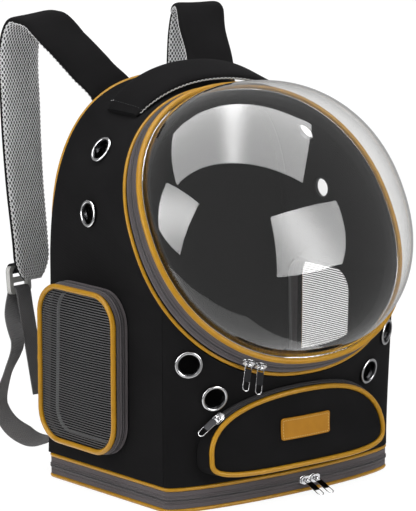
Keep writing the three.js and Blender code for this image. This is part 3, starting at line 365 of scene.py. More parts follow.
def bars(name, points, along, out, size, material):
    """Rounded bars baked to a plain mesh. size is (length, width, height) in millimetres."""
    guide = bpy.data.meshes.new(name + "_guide")
    guide.from_pydata((points * 0.001).tolist(), [], [])
    for key, values in (("along", along), ("out", out)):
        guide.attributes.new(key, "FLOAT_VECTOR", "POINT").data.foreach_set("vector", values.astype(np.float32).ravel())
    holder = bpy.data.objects.new(name + "_guide", guide)
    bpy.context.scene.collection.objects.link(holder)
    modifier = holder.modifiers.new("bars", "NODES")
    modifier.node_group = rounded_bars
    sockets = {item.name: item.identifier for item in rounded_bars.interface.items_tree if item.in_out == "INPUT"}
    for key, value in zip(("Length", "Width", "Height"), size):
        modifier[sockets[key]] = value * 0.001
    modifier[sockets["Material"]] = material
    depsgraph = bpy.context.evaluated_depsgraph_get()
    mesh = bpy.data.meshes.new_from_object(holder.evaluated_get(depsgraph))
    bpy.data.objects.remove(holder)
    piece = bpy.data.objects.new(name, mesh)
    bpy.context.scene.collection.objects.link(piece)
    return piece


def stitch_line(name, points, out, material, closed=False, length=2.6, pitch=3.8, width=0.55):
    """A row of thread stitches lying on a surface along a line."""
    spots, place = resample(points, closed, pitch)
    return bars(name, spots, tangents(spots, closed), carried(out, place, closed), (length, width, width), material)


def new_group(name, inputs, outputs):
    """A shader group with named float, vector or colour sockets, its tree, inputs and output node."""
    tree = bpy.data.node_groups.new(name, "ShaderNodeTree")
    kinds = {"f": "NodeSocketFloat", "v": "NodeSocketVector", "c": "NodeSocketColor"}
    for key, kind in inputs.items():
        tree.interface.new_socket(key, in_out="INPUT", socket_type=kinds[kind])
    for key, kind in outputs.items():
        tree.interface.new_socket(key, in_out="OUTPUT", socket_type=kinds[kind])
    return tree, tree.nodes.new("NodeGroupInput").outputs, tree.nodes.new("NodeGroupOutput")


# Woven cloth: warp and weft cross in a checked relief, with slubs and slow changes of tone
weave, given, output = new_group("weave", {"Vector": "v", "Threads": "f"}, {"Height": "f", "Tone": "f"})
split = node(weave, "ShaderNodeSeparateXYZ", Vector=given["Vector"])
turns = [maths(weave, "MULTIPLY", split.outputs[k], maths(weave, "MULTIPLY", given["Threads"], math.pi)) for k in (0, 1)]
crossing = maths(weave, "MULTIPLY", maths(weave, "SINE", turns[0]), maths(weave, "SINE", turns[1]))
slub = node(weave, "ShaderNodeTexNoise", Vector=given["Vector"], Scale=0.35, Detail=3)
weave.links.new(maths(weave, "ADD", maths(weave, "MULTIPLY", crossing, 0.5), slub.outputs[0]), output.inputs["Height"])
slow = node(weave, "ShaderNodeTexNoise", Vector=given["Vector"], Scale=0.018, Detail=3)
lifted = maths(weave, "ADD", maths(weave, "MULTIPLY", crossing, 0.18), slow.outputs[0])
weave.links.new(lifted, output.inputs["Tone"])

# Leather grain: small pebbles in fine creases, with slow changes of tone
grain, given, output = new_group("grain", {"Vector": "v", "Size": "f"}, {"Height": "f", "Tone": "f"})
pebbles = node(grain, "ShaderNodeTexVoronoi", {"feature": "DISTANCE_TO_EDGE"}, Vector=given["Vector"],
               Scale=maths(grain, "DIVIDE", 1.0, given["Size"]))
fine = node(grain, "ShaderNodeTexNoise", Vector=given["Vector"], Scale=maths(grain, "DIVIDE", 2.5, given["Size"]), Detail=4)
grain.links.new(maths(grain, "ADD", maths(grain, "MINIMUM", pebbles.outputs[0], 0.18),
                      maths(grain, "MULTIPLY", fine.outputs[0], 0.25)), output.inputs["Height"])
broad = node(grain, "ShaderNodeTexNoise", Vector=given["Vector"], Scale=maths(grain, "DIVIDE", 0.12, given["Size"]), Detail=3)
grain.links.new(broad.outputs[0], output.inputs["Tone"])


def group(tree, which, **inputs):
    made = node(tree, "ShaderNodeGroup", {"node_tree": which})
    for key, value in inputs.items():
        if isinstance(value, bpy.types.NodeSocket):
            tree.links.new(value, made.inputs[key])
        else:
            made.inputs[key].default_value = value
    return made


def surface(tree, shader, textured, dark, light, relief, depth):
    """Tone between two colours and a bump from a texture group's Height."""
    blend = node(tree, "ShaderNodeMix", {"data_type": "RGBA"}, Factor=textured.outputs["Tone"])
    blend.inputs[6].default_value, blend.inputs[7].default_value = (*dark, 1), (*light, 1)
    tree.links.new(blend.outputs[2], shader.inputs["Base Color"])
    bump = node(tree, "ShaderNodeBump", Strength=relief, Distance=depth * 0.001, Height=textured.outputs["Height"])
    tree.links.new(bump.outputs[0], shader.inputs["Normal"])


def on_uv(tree):
    return node(tree, "ShaderNodeTexCoord").outputs["UV"]


def on_object(tree, millimetres=1000.0):
    place = node(tree, "ShaderNodeTexCoord").outputs["Object"]
    return node(tree, "ShaderNodeVectorMath", {"operation": "SCALE"}, Vector=place, Scale=millimetres).outputs[0]


def cloth_finish(name, dark, light, threads, roughness=0.9, relief=0.5, depth=0.25, sheen=0.0):
    material, tree, shader = plain(name, dark, roughness, Sheen_Weight=sheen, Specular_IOR_Level=0.05)
    surface(tree, shader, group(tree, weave, Vector=on_uv(tree), Threads=threads), dark, light, relief, depth)
    return material


def leather_finish(name, dark, light, size, roughness, relief=0.35, depth=0.2):
    material, tree, shader = plain(name, dark, roughness, Specular_IOR_Level=0.25, Coat_Weight=0.08,
                                   Coat_Roughness=0.25)
    surface(tree, shader, group(tree, grain, Vector=on_object(tree), Size=size), dark, light, relief, depth)
    return material


black_cloth = cloth_finish("black_oxford_cloth", (0.005, 0.0049, 0.0051), (0.0125, 0.0122, 0.0127), 1.4)
grey_tape = cloth_finish("grey_zip_tape", (0.075, 0.066, 0.069), (0.125, 0.112, 0.117), 2.2, sheen=0.1)
amber_piping = leather_finish("amber_piping_leather", (0.33, 0.155, 0.004), (0.46, 0.235, 0.008), 0.9, 0.36)
coil_nylon, _, _ = plain("grey_coil_nylon", (0.05, 0.047, 0.05), 0.4)
black_thread_and_gap_shade, _, _ = plain("black_thread_and_gap_shade", (0.02, 0.02, 0.021), 0.7)

front_curve = lambda turn: np.stack([front_width / 2 * np.sin(turn), front_line - front_bulge * np.cos(turn),
                                     0 * turn], -1)


def base_outline(inset):
    """The base seen from above: a bulged front and two small back corners, evenly stepped."""
    corner = 9
    front = front_curve(np.radians(np.linspace(-90, 90, 61)))
    arcs = [np.stack([side * (base_width / 2 - corner) + corner * np.cos(turn),
                      back_line - corner + corner * np.sin(turn), 0 * turn], -1)
            for side, turn in ((1, np.radians(np.linspace(0, 90, 8))), (-1, np.radians(np.linspace(90, 180, 8))))]
    loop, _ = resample(np.concatenate([front, *arcs]), True, 3.2)
    along = tangents(loop, True)
    return loop + np.stack([-along[:, 1], along[:, 0], 0 * along[:, 0]], -1) * inset


def at_height(points, height):
    return np.concatenate([points[:, :2], np.full((len(points), 1), height)], 1)


def zip_band(name, edge_a, edge_b, away, node_name, tape=None, closed=True, thickness=2.0, teeth=1.35):
    """A zip tape between two edges: flat tape with two sewn grooves, two nylon coils meeting in a
    ridge along its middle, and the teeth as bars across it. The dark thread material paints the two
    sewn grooves, and it paints shade on the narrow gap where the coils meet."""
    across = edge_b - edge_a
    width = np.linalg.norm(across, axis=1).mean()
    along = tangents((edge_a + edge_b) / 2, closed)
    out = unit(np.cross(unit(across), along))
    out *= np.sign((out * away).sum(-1, keepdims=True))
    steps = np.array([0.3, 1.2, 2.0, 2.4, 2.9, 3.7, 4.0, 4.3])
    t = np.concatenate([np.linspace(0, 1, 9), 0.5 + steps / width, 0.5 - steps / width])
    t = np.unique(np.clip(t, 0, 1))
    off = np.abs(t - 0.5) * width
    relief = 0.7 * np.clip(2.6 - off, 0, 1) - 0.5 * (off < 0.31) - 0.5 * (np.abs(off - 4.0) < 0.2)
    middles = (off[1:] + off[:-1]) / 2
    # Dark thread on the two sewn grooves, and painted shade on the narrow strip where the coils meet.
    thread_and_shade_strips = ((middles > 2.3) & (middles < 3.0)) | (middles < 0.3)
    grid = edge_a[:, None] + across[:, None] * t[:, None] + out[:, None] * relief[:, None]
    band = ready(wall(name, grid, -out[:, None] * np.ones((1, len(t), 1)), thickness, [tape or grey_tape, black_thread_and_gap_shade],
                      closed, 35, thread_and_shade_strips.astype(int)), "grey_tape", node_name)
    middle, place = resample((edge_a + edge_b) / 2, closed, teeth)
    rows = carried(across, place, closed)
    lifts = carried(out, place, closed)
    spots = np.concatenate([middle + rows * 0.95 + lifts * 0.6, middle - rows * 0.95 + lifts * 0.6])
    ready(bars(name + "_teeth", spots, np.concatenate([rows, rows]), np.concatenate([lifts, lifts]),
               (1.9, 0.85, 0.9), coil_nylon), "grey_tape")
    return band


def piping(name, points, ups, radius, node_name, closed=True, joints=(), material=None, sides=14):
    """Piping: a leather wrapped cord, a little thicker where its ends are joined."""
    run = lengths(points, closed)
    share = run[:len(points)] / run[-1]
    swell = 1 + sum(0.1 * np.exp(-(((share - spot + 0.5) % 1 - 0.5) * run[-1] / 2.2) ** 4) for spot in joints)
    ripple = 1 + 0.015 * np.sin(share * run[-1] * 0.9) + 0.012 * np.sin(share * run[-1] * 0.37 + 1)
    cord = tube(name, points, ups, radius * 0.985 * swell * ripple, material or amber_piping, closed, sides)
    return ready(cord, "amber_piping", node_name)


board_outline = base_outline(2 * piping_radius + gap)
rings = np.stack([at_height(board_outline, 0.0), at_height(board_outline, 2.4),
                  at_height(base_outline(2 * piping_radius + gap + 0.6), 3.0)], 1)
board_points = rings.reshape(-1, 3)
board_count = len(board_outline)
board_faces, board_uvs = skin(rings, lengths(board_outline, True), np.array([0, 2.4, 3.2]), True, False)
board_faces = board_faces.tolist() + [list(range(0, 3 * board_count, 3))[::-1], list(range(2, 3 * board_count, 3))]
flat_uv = lambda points: points[:, :2].tolist()
board_uvs = board_uvs.reshape(-1, 2).tolist() + flat_uv(board_points[::3][::-1]) + flat_uv(board_points[2::3])
ready(make("base_board", board_points, board_faces, black_cloth, board_uvs, 40), "black_cloth", "base_tray")
pipe_line = base_outline(piping_radius)
upright = np.tile(Z, (len(pipe_line), 1))
piping("base_piping_low", at_height(pipe_line, lower_piping_height), upright, piping_radius, "base_piping_lower",
       joints=(0.31,))
piping("base_piping_high", at_height(pipe_line, upper_piping_height), upright, piping_radius, "base_piping_upper",
       joints=(0.62,))
tape_line = base_outline(1.0)
outwards = tape_line - base_outline(6.0)
zip_band("base_zip", at_height(tape_line, base_tape_bottom - gap), at_height(tape_line, base_tape_top + gap), outwards,
         "base_zip_tape")

# The dome's ring: a leaning oval with amber piping on both edges of a grey zip. The clear dome sits
# inside it on a black flange. An oval is fuller than an ellipse by its fullness above 2.
ring_width, ring_height, ring_fullness, ring_lean = 328, 313, 2.18, math.radians(28.9)
ring_zip_width, ring_taper, ring_heel_depth, ring_piping_radius = 15.2, 5.9, 9, 3
ring_up = np.array([0, math.sin(ring_lean), math.cos(ring_lean)])
ring_out = np.array([0, -math.cos(ring_lean), math.sin(ring_lean)])
ring_centre = np.array([0, -66.0, 274.0])
flange_inset, flange_lift = ring_taper + ring_piping_radius + gap, ring_zip_width - 1.9


def full(value, fullness):
    return np.sign(value) * np.abs(value) ** (2 / fullness)


def ring_point(turn, inset=0.0, lift=0.0):
    turn = np.asarray(turn, float)
    sink = ring_heel_depth * (1 - np.sin(turn)) / 2 * max(0, 1 - lift / (ring_zip_width - ring_piping_radius))
    return (ring_centre + X * ((ring_width / 2 - inset) * full(np.cos(turn), ring_fullness))[..., None]
            + ring_up * ((ring_height / 2 - inset) * full(np.sin(turn), ring_fullness))[..., None]
            + ring_out * (lift - sink)[..., None])


def ring_row(inset, lift, count=240):
    dense = ring_point(np.linspace(0, 2 * np.pi, 1440, endpoint=False), inset, lift)
    return resample(dense, True, lengths(dense, True)[-1] / count)[0]


ring_away = np.tile(ring_out, (240, 1))
piping("dome_piping_outer", ring_row(0.4, -0.3), ring_away, piping_radius * 0.82, "ring_piping_outer", joints=(0.86,))
piping("dome_piping_inner", ring_row(ring_taper, ring_zip_width), ring_away, ring_piping_radius, "ring_piping_inner",
       joints=(0.8, 0.82))
tape_low, tape_high = ring_row(1, piping_radius + gap), ring_row(ring_taper - 1, ring_zip_width - ring_piping_radius - gap)
zip_band("dome_zip", tape_low, tape_high, tape_low - ring_centre, "ring_zip_tape")

flange_profile = [(2.2, 0.4), (2.8, 2.2), (3.8, 4.2), (5.2, 5.2), (6.8, 5.0), (8.4, 3.6), (9.6, 1.4), (10.6, -1.0), (12, -3)]
flange_sheet = np.stack([ring_row(flange_inset + inset, flange_lift + lift) for inset, lift in flange_profile], 1)
flange = wall("dome_flange", flange_sheet, -ring_out * np.ones((240, len(flange_profile), 1)), 2, black_cloth, True)
ready(flange, "black_cloth", "dome_flange")
for which, inset, lift in (("outer", 3.8, 4.3), ("inner", 8.4, 3.7)):
    stitches = stitch_line(f"flange_stitches_{which}", ring_row(flange_inset + inset, flange_lift + lift), ring_away,
                           black_thread_and_gap_shade, True)
    ready(stitches, "black_cloth")


def dome_point(turn, rise, inset, depth):
    base = ring_point(turn, inset, ring_zip_width)
    centre = ring_centre + ring_out * ring_zip_width
    share = full(np.cos(rise), 2.12)[..., None]
    return centre + (base - centre) * share + ring_out * (depth * full(np.sin(rise), 2.12))[..., None]


def dome_shell(inset, depth, rows=40, count=160):
    turn = np.linspace(0, 2 * np.pi, count, endpoint=False)
    rise = (np.linspace(0, 1, rows) ** 0.9) * (np.pi / 2 * 0.985)
    return dome_point(turn[:, None] + 0 * rise, rise + 0 * turn[:, None], inset, depth)


clear_dome, tree, shader = plain("clear_dome", (1, 0.998, 0.995), 0.02, Transmission_Weight=1.0, IOR=1.45)
shade_through = node(tree, "ShaderNodeBsdfTransparent", Color=(0.9, 0.92, 0.92, 1))
is_shadow = node(tree, "ShaderNodeLightPath").outputs["Is Shadow Ray"]
mixed = node(tree, "ShaderNodeMixShader", i0=is_shadow, i1=shader.outputs[0], i2=shade_through.outputs[0])
tree.links.new(mixed.outputs[0], tree.nodes["Material Output"].inputs["Surface"])
outer = dome_shell(flange_inset, 100)
n, m = outer.shape[:2]
tangent_round = np.roll(outer, -1, 0) - np.roll(outer, 1, 0)
square_off = unit(np.cross(tangent_round, np.gradient(outer, axis=1)))
square_off *= np.sign((square_off * (outer - ring_centre)).sum(-1, keepdims=True))
inner = outer - square_off * 1.6
dome_points = np.concatenate([outer.reshape(-1, 3), inner.reshape(-1, 3)])
outer_faces, _ = skin(outer, np.zeros(n + 1), np.zeros(m), True, False)
edge = np.arange(n) * m
over = np.roll(edge, -1)
rim = np.stack([edge, over, over + n * m, edge + n * m], 1)
dome_faces = np.concatenate([outer_faces, outer_faces[:, ::-1] + n * m, rim[:, ::-1]]).tolist()
dome_faces += [(edge + m - 1).tolist(), (edge + m - 1 + n * m).tolist()[::-1]]
ready(make("dome", dome_points, dome_faces, clear_dome, None, 60), "clear_dome", "dome")

# The bag itself: one gusset of padded cloth runs up the left side, over the top and down the right,
# from the dome's ring and the front corners to the back. The lower front is a second cloth under the
# ring, and a padded back panel closes it, with amber piping round its edge.
body_depth, arch_start, arch_fullness, cloth_thickness = 200, 222, 2.68, 3
back_thickness, seam_share, seam_turn = 5, 0.72, math.radians(23.5)
pipe_clear = piping_radius + gap


def back_edge(u, inset=0.0):
    u = np.asarray(u, float)
    side, share, half = np.sign(u), np.abs(u), body_width / 2 - inset
    drop = np.clip((share - seam_share) / (1 - seam_share), 0, 1.5)
    turn = np.pi / 2 * (1 - np.minimum(share, seam_share) / seam_share)
    low = share > seam_share
    x = np.where(low, half + (base_width - body_width) / 2 * drop ** 1.5, half * full(np.cos(turn), arch_fullness))
    z = np.where(low, arch_start + (wall_bottom - arch_start) * drop,
                 arch_start + (body_height - inset - arch_start) * full(np.sin(turn), arch_fullness))
    return np.stack([side * x, np.full_like(x, back_line), z], -1)


def front_edge(u):
    u = np.asarray(u, float)
    side, share = np.sign(u), np.abs(u)
    drop = np.clip((share - seam_share) / (1 - seam_share), 0, 1.5)[..., None]
    foot = np.array([front_width / 2, front_line, wall_bottom])
    seam = ring_point(-seam_turn) * (1 - drop) + foot * drop
    arc = ring_point(np.pi / 2 - (np.pi / 2 + seam_turn) * np.minimum(share, seam_share) / seam_share)
    point = np.where((share > seam_share)[..., None], seam, arc)
    return np.concatenate([side[..., None] * np.abs(point[..., :1]), point[..., 1:]], -1)


def gusset_surface(u, s):
    u, s = np.broadcast_arrays(np.asarray(u, float), np.asarray(s, float))
    point = front_edge(u) * (1 - s[..., None]) + back_edge(u) * s[..., None]
    middle = np.stack([0 * u, point[..., 1], np.full_like(u, (arch_start + wall_bottom) / 2)], -1)
    pull = 3 * np.sin(np.pi * np.clip(s, 0, 1)) * np.minimum(1, 4 * (1 - np.abs(u)))
    return point + unit(middle - point) * pull[..., None]


def front_surface(turn, v):
    turn, v = np.broadcast_arrays(np.asarray(turn, float), np.asarray(v, float))
    low = front_curve(turn) + Z * wall_bottom
    high = ring_point(-np.pi / 2 + turn * (np.pi / 2 - seam_turn) / (np.pi / 2))
    hollow = 11 * np.sin(np.pi * np.clip(v, 0, 1)) * np.cos(turn)
    return low * (1 - v[..., None]) + high * v[..., None] + Y * hollow[..., None]


def normals(surface, u, v, away):
    step = 1e-3
    out = unit(np.cross(surface(u + step, v) - surface(u - step, v), surface(u, v + step) - surface(u, v - step)))
    return out * np.sign((out * away(surface(u, v), u)).sum(-1, keepdims=True))


def gusset_out(u, s):
    away = lambda point, _: np.stack([point[..., 0], 0 * point[..., 0], point[..., 2] - arch_start], -1)
    return normals(gusset_surface, np.asarray(u, float), np.asarray(s, float), away)


def front_out(turn, v):
    away = lambda _, turned: np.stack([np.sin(turned), -np.cos(turned), 0 * turned], -1)
    return normals(front_surface, np.asarray(turn, float), np.asarray(v, float), away)


def find_on(surface, axes, wanted, guess):
    """Newton's search for the places on a surface that have two wanted coordinates."""
    step = 1e-4
    u, v = (np.broadcast_to(np.asarray(g, float), np.shape(wanted[0])).copy() for g in guess)
    first, second = axes
    for _ in range(16):
        here = surface(u, v)
        du, dv = (surface(u + step, v) - here) / step, (surface(u, v + step) - here) / step
        miss_a, miss_b = wanted[0] - here[..., first], wanted[1] - here[..., second]
        scale = du[..., first] * dv[..., second] - dv[..., first] * du[..., second]
        u = u + (miss_a * dv[..., second] - miss_b * dv[..., first]) / scale
        v = v + (miss_b * du[..., first] - miss_a * du[..., second]) / scale
    return u, v


def on_side(side, back, height):
    back, height = (np.asarray(value, float) for value in (back, height))
    u, s = find_on(gusset_surface, (1, 2), (back, height), (side * np.where(height > arch_start, 0.5, 0.85), 0.5))
    return gusset_surface(u, s), gusset_out(u, s)


def on_front(x, height):
    x, height = (np.asarray(value, float) for value in (x, height))
    turn, v = find_on(front_surface, (0, 2), (x, height), (x / (front_width / 2), 0.6))
    return front_surface(turn, v), front_out(turn, v)


def waves(first, second, size):
    """Slow swells of the cloth over its two running lengths in millimetres."""
    return size * (0.5 * np.sin(first / 31 + 0.8 * np.sin(second / 47)) + 0.3 * np.sin(second / 23 + first / 61)
                   + 0.2 * np.sin(first / 13 - second / 17))


def seam_inward(side, rise):
    return unit(np.stack([-side * (1 - rise / 2), 0 * rise, -0.8 * np.clip(rise, 0, 1) ** 3], -1))


def tuck(u):
    """How far the piping sinks behind the gusset's edge towards the floor."""
    return 3 * np.clip((np.abs(u) - 0.5) / 0.2, 0, 1) ** 2


columns, rows = 321, 49
u = np.linspace(-1, 1, columns)
span = np.linalg.norm(front_edge(u) - back_edge(u), axis=1)
low = np.where(np.abs(u) > seam_share, 0.6, pipe_clear + 0.8) / span
high = 1 - (back_thickness + gap + 0.3 - tuck(u) * 0.9) / span
s = low[:, None] + (high - low)[:, None] * np.linspace(0, 1, rows)
u_grid = np.repeat(u[:, None], rows, 1)
gusset_points, gusset_outs = gusset_surface(u_grid, s), gusset_out(u_grid, s)
rise = (1 - np.abs(u_grid)) / (1 - seam_share)
seamward = np.clip(1 - 3 * np.linspace(0, 1, rows), 0, 1) * (rise < 1)
inward = unit(seam_inward(np.sign(u_grid), rise) * seamward[..., None] - gusset_outs * (1 - seamward[..., None]))
edge_fade = np.clip(np.minimum(s * span[:, None] / 14, (1 - s) * span[:, None] / 14), 0, 1)
edge_fade = edge_fade * np.clip((1 - np.abs(u_grid)) * 14, 0, 1)
swell = waves(u_grid * 520, s * span[:, None], 0.9) * edge_fade
gusset = wall("side_gusset_cloth", gusset_points + gusset_outs * swell[..., None], inward, cloth_thickness,
              black_cloth)

columns, rows = 201, 41
turn = np.linspace(-np.pi / 2, np.pi / 2, columns)
span = np.linalg.norm(front_surface(turn, 0 * turn) - front_surface(turn, 0 * turn + 1), axis=1)
v = (1 - (pipe_clear + 0.8) / span)[:, None] * np.linspace(0, 1, rows)
turn_grid = np.repeat(turn[:, None], rows, 1)
front_points, front_outs = front_surface(turn_grid, v), front_out(turn_grid, v)
cornerward = np.clip(1 - (np.pi / 2 - np.abs(turn_grid)) / (np.pi / 20), 0, 1)[..., None]
inward = unit(seam_inward(np.sign(turn_grid), v) * cornerward - front_outs * (1 - cornerward))
edge_fade = np.clip((np.pi / 2 - np.abs(turn_grid)) * 6, 0, 1) * np.clip(v * 8, 0, 1) * np.clip((1 - v) * 8, 0, 1)
swell = waves(turn_grid * 120, v * 150, 0.8) * edge_fade
front_cloth = wall("front_cloth", front_points + front_outs * swell[..., None], inward, cloth_thickness, black_cloth)


def basis(origin, across, out):
    """Three directions at a place: across, upright and out of the surface."""
    across = unit(across - out * (across * out).sum(-1, keepdims=True))
    return origin, across, np.cross(out, across), out


def lathe(name, place, profile, material, paint, steps=56):
    """A turned ring: profile rows are (radius, height) and close into a loop."""
    origin, across, up, out = place
    turn = np.linspace(0, 2 * np.pi, steps, endpoint=False)[:, None, None]
    profile = np.asarray(profile, float)
    radius, height = profile[:, 0][None, :, None], profile[:, 1][None, :, None]
    grid = origin + radius * (np.cos(turn) * across + np.sin(turn) * up) + height * out
    return loft(name, grid, material, True, paint=paint)


def cut(piece, cutters):
    """Cuts openings with a Boolean for each cutter, then bakes the result."""
    for index, cutter in enumerate(cutters):
        modifier = piece.modifiers.new(f"opening_{index}", "BOOLEAN")
        modifier.operation, modifier.solver, modifier.object = "DIFFERENCE", "EXACT", cutter
    baked = bpy.data.meshes.new_from_object(piece.evaluated_get(bpy.context.evaluated_depsgraph_get()))
    piece.modifiers.clear()
    piece.data = baked
    for cutter in cutters:
        bpy.data.objects.remove(cutter)


def rounded_rectangle(width, height, corner, step=2.0):
    points = []
    for index, (sx, sy) in enumerate(((1, 1), (-1, 1), (-1, -1), (1, -1))):
        for turn in np.pi / 2 * (index + np.linspace(0, 1, 13)):
            points.append((sx * (width / 2 - corner) + corner * math.cos(turn),
                           sy * (height / 2 - corner) + corner * math.sin(turn), 0.0))
    return resample(np.array(points), True, step)[0]


def prism(name, outline, place, low, high):
    origin, across, up, out = place
    flat = origin + outline[:, :1] * across + outline[:, 1:2] * up
    return loft(name, np.stack([flat + out * low, flat + out * high]), black_cloth)


eyelet_holes = {"side": [], "front": []}
eyelet_places = {}
for side_name, side in (("left", -1), ("right", 1)):
    spots = {f"side_upper_{side_name}": on_side(side, 32, 352), f"side_lower_{side_name}": on_side(side, 27, 289),
             f"front_upper_{side_name}": on_front(side * 129, 153), f"front_lower_{side_name}": on_front(side * 101, 116)}
    for name, (point, out) in spots.items():
        place = basis(point, Y if name.startswith("side") else X, out)
        eyelet_places[name] = place
        circle = np.array([(11.6 * math.cos(a), 11.6 * math.sin(a), 0) for a in np.radians(np.arange(0, 360, 9))])
        eyelet_holes[name.split("_")[0]].append(prism(name + "_hole", circle, place, -12, 12))


def pod_frame(side):
    point, out = on_side(side, 30, 130)
    out = unit(out * (X + Y))
    return basis(point, np.cross(Z, out), out)


for side in (-1, 1):
    opening = rounded_rectangle(128 - 18, 168 - 18, 34 - 9)
    eyelet_holes["side"].append(prism("window_hole", opening, pod_frame(side), -30, 30))
cut(gusset, eyelet_holes["side"])
cut(front_cloth, eyelet_holes["front"])
ready(gusset, "black_cloth", "side_gusset")
ready(front_cloth, "black_cloth", "front_panel")

edge_u = np.linspace(-1, 1, 241)
panel_edge = back_edge(edge_u, piping_radius + pipe_clear + tuck(edge_u))
panel_middle = np.array([0, back_line, 205.0])
shares = np.array([0, 0.25, 0.5, 0.7, 0.84, 0.92, 0.97, 1.0])
crown = 2.6 * np.cos(np.pi / 2 * np.clip(shares * 1.02, 0, 1) ** 3)
padded_rows = np.stack([panel_middle + (panel_edge - panel_middle) * share + Y * lift
                        for share, lift in zip(shares[::-1], crown[::-1])], 1)
closing = np.stack([panel_edge, panel_edge - Y * back_thickness], 1)
panel_points = np.concatenate([padded_rows[:, ::-1].reshape(-1, 3), closing[:, 1]])
count = len(shares)
grid_faces, _ = skin(padded_rows, np.zeros(242), np.zeros(count), True, False)
ring = np.arange(241)
rim = np.stack([ring * count + count - 1, 241 * count + ring, 241 * count + (ring + 1) % 241,
                ((ring + 1) % 241) * count + count - 1], 1)
panel_faces = grid_faces.tolist() + rim.tolist() + [(241 * count + ring).tolist()]
panel_uvs = [[panel_points[v][0], panel_points[v][2]] for face in panel_faces for v in face]
panel = make("back_panel_padded", panel_points, panel_faces, black_cloth, panel_uvs, 40)
ready(panel, "black_cloth", "back_panel")
back_pipe_line = back_edge(edge_u, piping_radius + tuck(edge_u)) - Y * (back_thickness / 2)
piping("back_piping_cord", back_pipe_line, np.tile(Y, (241, 1)), piping_radius, "back_piping", closed=False)

# A black tape binds the seam between gusset and back panel on the inside
binding_edges = ((2.6, -14.0), (3.4, -7.6), (4.6, -5.6), (12, -5.4))
binding = np.stack([back_edge(edge_u, inset) + Y * back for inset, back in binding_edges], 1)
ready(wall("inner_seam_binding", binding, unit(panel_middle - Y * 40 - binding), 0.8, black_cloth), "black_cloth")

# Side windows: on each side a zip tape stands out of the cloth as a low wall and carries amber
# piping, with a ribbed see-through mesh stretched inside it.
see_through, tree, shader = plain("grey_window_mesh", (0.085, 0.085, 0.088), 0.7)
place = node(tree, "ShaderNodeSeparateXYZ", Vector=on_uv(tree))
across_rib = maths(tree, "SINE", maths(tree, "MULTIPLY", place.outputs[1], 2 * math.pi / 2.6))
along_rib = maths(tree, "SINE", maths(tree, "MULTIPLY", place.outputs[0], 2 * math.pi / 1.7))
holes = maths(tree, "GREATER_THAN", maths(tree, "ADD", across_rib, maths(tree, "MULTIPLY", along_rib, 0.6)), -0.42)
ribs = node(tree, "ShaderNodeBump", Strength=0.8, Distance=0.0005, Height=maths(tree, "MULTIPLY", across_rib, -1.0))
tree.links.new(ribs.outputs[0], shader.inputs["Normal"])
open_light = node(tree, "ShaderNodeBsdfTransparent", Color=(1, 1, 1, 1))
mixed = node(tree, "ShaderNodeMixShader", i0=holes, i1=shader.outputs[0], i2=open_light.outputs[0])
tree.links.new(mixed.outputs[0], tree.nodes["Material Output"].inputs["Surface"])

rim_tape = cloth_finish("pale_rim_tape", (0.12, 0.12, 0.122), (0.2, 0.2, 0.202), 2.2)
for side_name, side in (("left", -1), ("right", 1)):
    place = pod_frame(side)
    origin, across, up, out = place

    def pod_row(inset, lift, count=300):
        outline = rounded_rectangle(128 - 2 * inset, 168 - 2 * inset, 34 - inset, 1.0)
        even = resample(outline, True, lengths(outline, True)[-1] / count)[0]
        return origin + even[:, :1] * across + even[:, 1:2] * up + out * lift

    under = pod_row(-1.5, 0)
    seat, seat_out = on_side(side, under[:, 1], under[:, 2])
    zip_band(f"window_zip_{side_name}", seat + seat_out * 2, pod_row(1, 14.9), pod_row(0, 0) - origin,
             f"window_zip_tape_{side_name}")
    outs = np.tile(out, (300, 1))
    piping(f"window_piping_cord_{side_name}", pod_row(2.8, 18), outs, 2.8, f"window_piping_{side_name}", joints=(0.4,))
    hem = np.stack([pod_row(8, 17.0), pod_row(5.4, 15.5), pod_row(1.2, 14.6)], 1)
    ready(wall(f"window_hem_{side_name}", hem, -out * np.ones((300, 3, 1)), 0.5, black_cloth, True), "grey_mesh")
    rim_outline = pod_row(9.2, 0)
    rim_seat, rim_out = on_side(side, rim_outline[:, 1], rim_outline[:, 2])
    ready(tube(f"window_rim_{side_name}", rim_seat - rim_out * 0.8, rim_out, 1.7, rim_tape), "grey_mesh")
    net_outline = rounded_rectangle(128 - 11.8, 168 - 11.8, 34 - 5.9, 2.4)
    levels = np.array([0.02, 0.15, 0.3, 0.45, 0.6, 0.75, 0.88, 1.0])
    net_rows = np.stack([origin + net_outline[:, :1] * across * share + net_outline[:, 1:2] * up * share
                         + out * (17.6 + 4 * (1 - share ** 2)) for share in levels[::-1]], 1)
    n, m = net_rows.shape[:2]
    faces, _ = skin(net_rows, np.zeros(n + 1), np.zeros(m), True, False)
    centre_face = [(np.arange(n) * m + m - 1).tolist()]
    under_faces = [[v + n * m for v in face[::-1]] for face in faces.tolist() + centre_face]
    start = np.arange(n) * m
    over = np.roll(start, -1)
    rim = np.stack([start, start + n * m, over + n * m, over], 1).tolist()
    net_faces = faces.tolist() + centre_face + under_faces + rim
    net_points = np.concatenate([net_rows.reshape(-1, 3), (net_rows - out * 0.5).reshape(-1, 3)])
    net_uvs = [[float((net_points[v] - origin) @ across), float((net_points[v] - origin) @ up)]
               for face in net_faces for v in face]
    net = ready(make(f"window_net_{side_name}", net_points, net_faces, see_through, net_uvs, 40), "grey_mesh",
                f"window_mesh_{side_name}")

# Chrome eyelets: two above each window and two on each side of the front
chrome, _, _ = plain("chrome", (0.55, 0.55, 0.56), 0.17, Metallic=1.0)
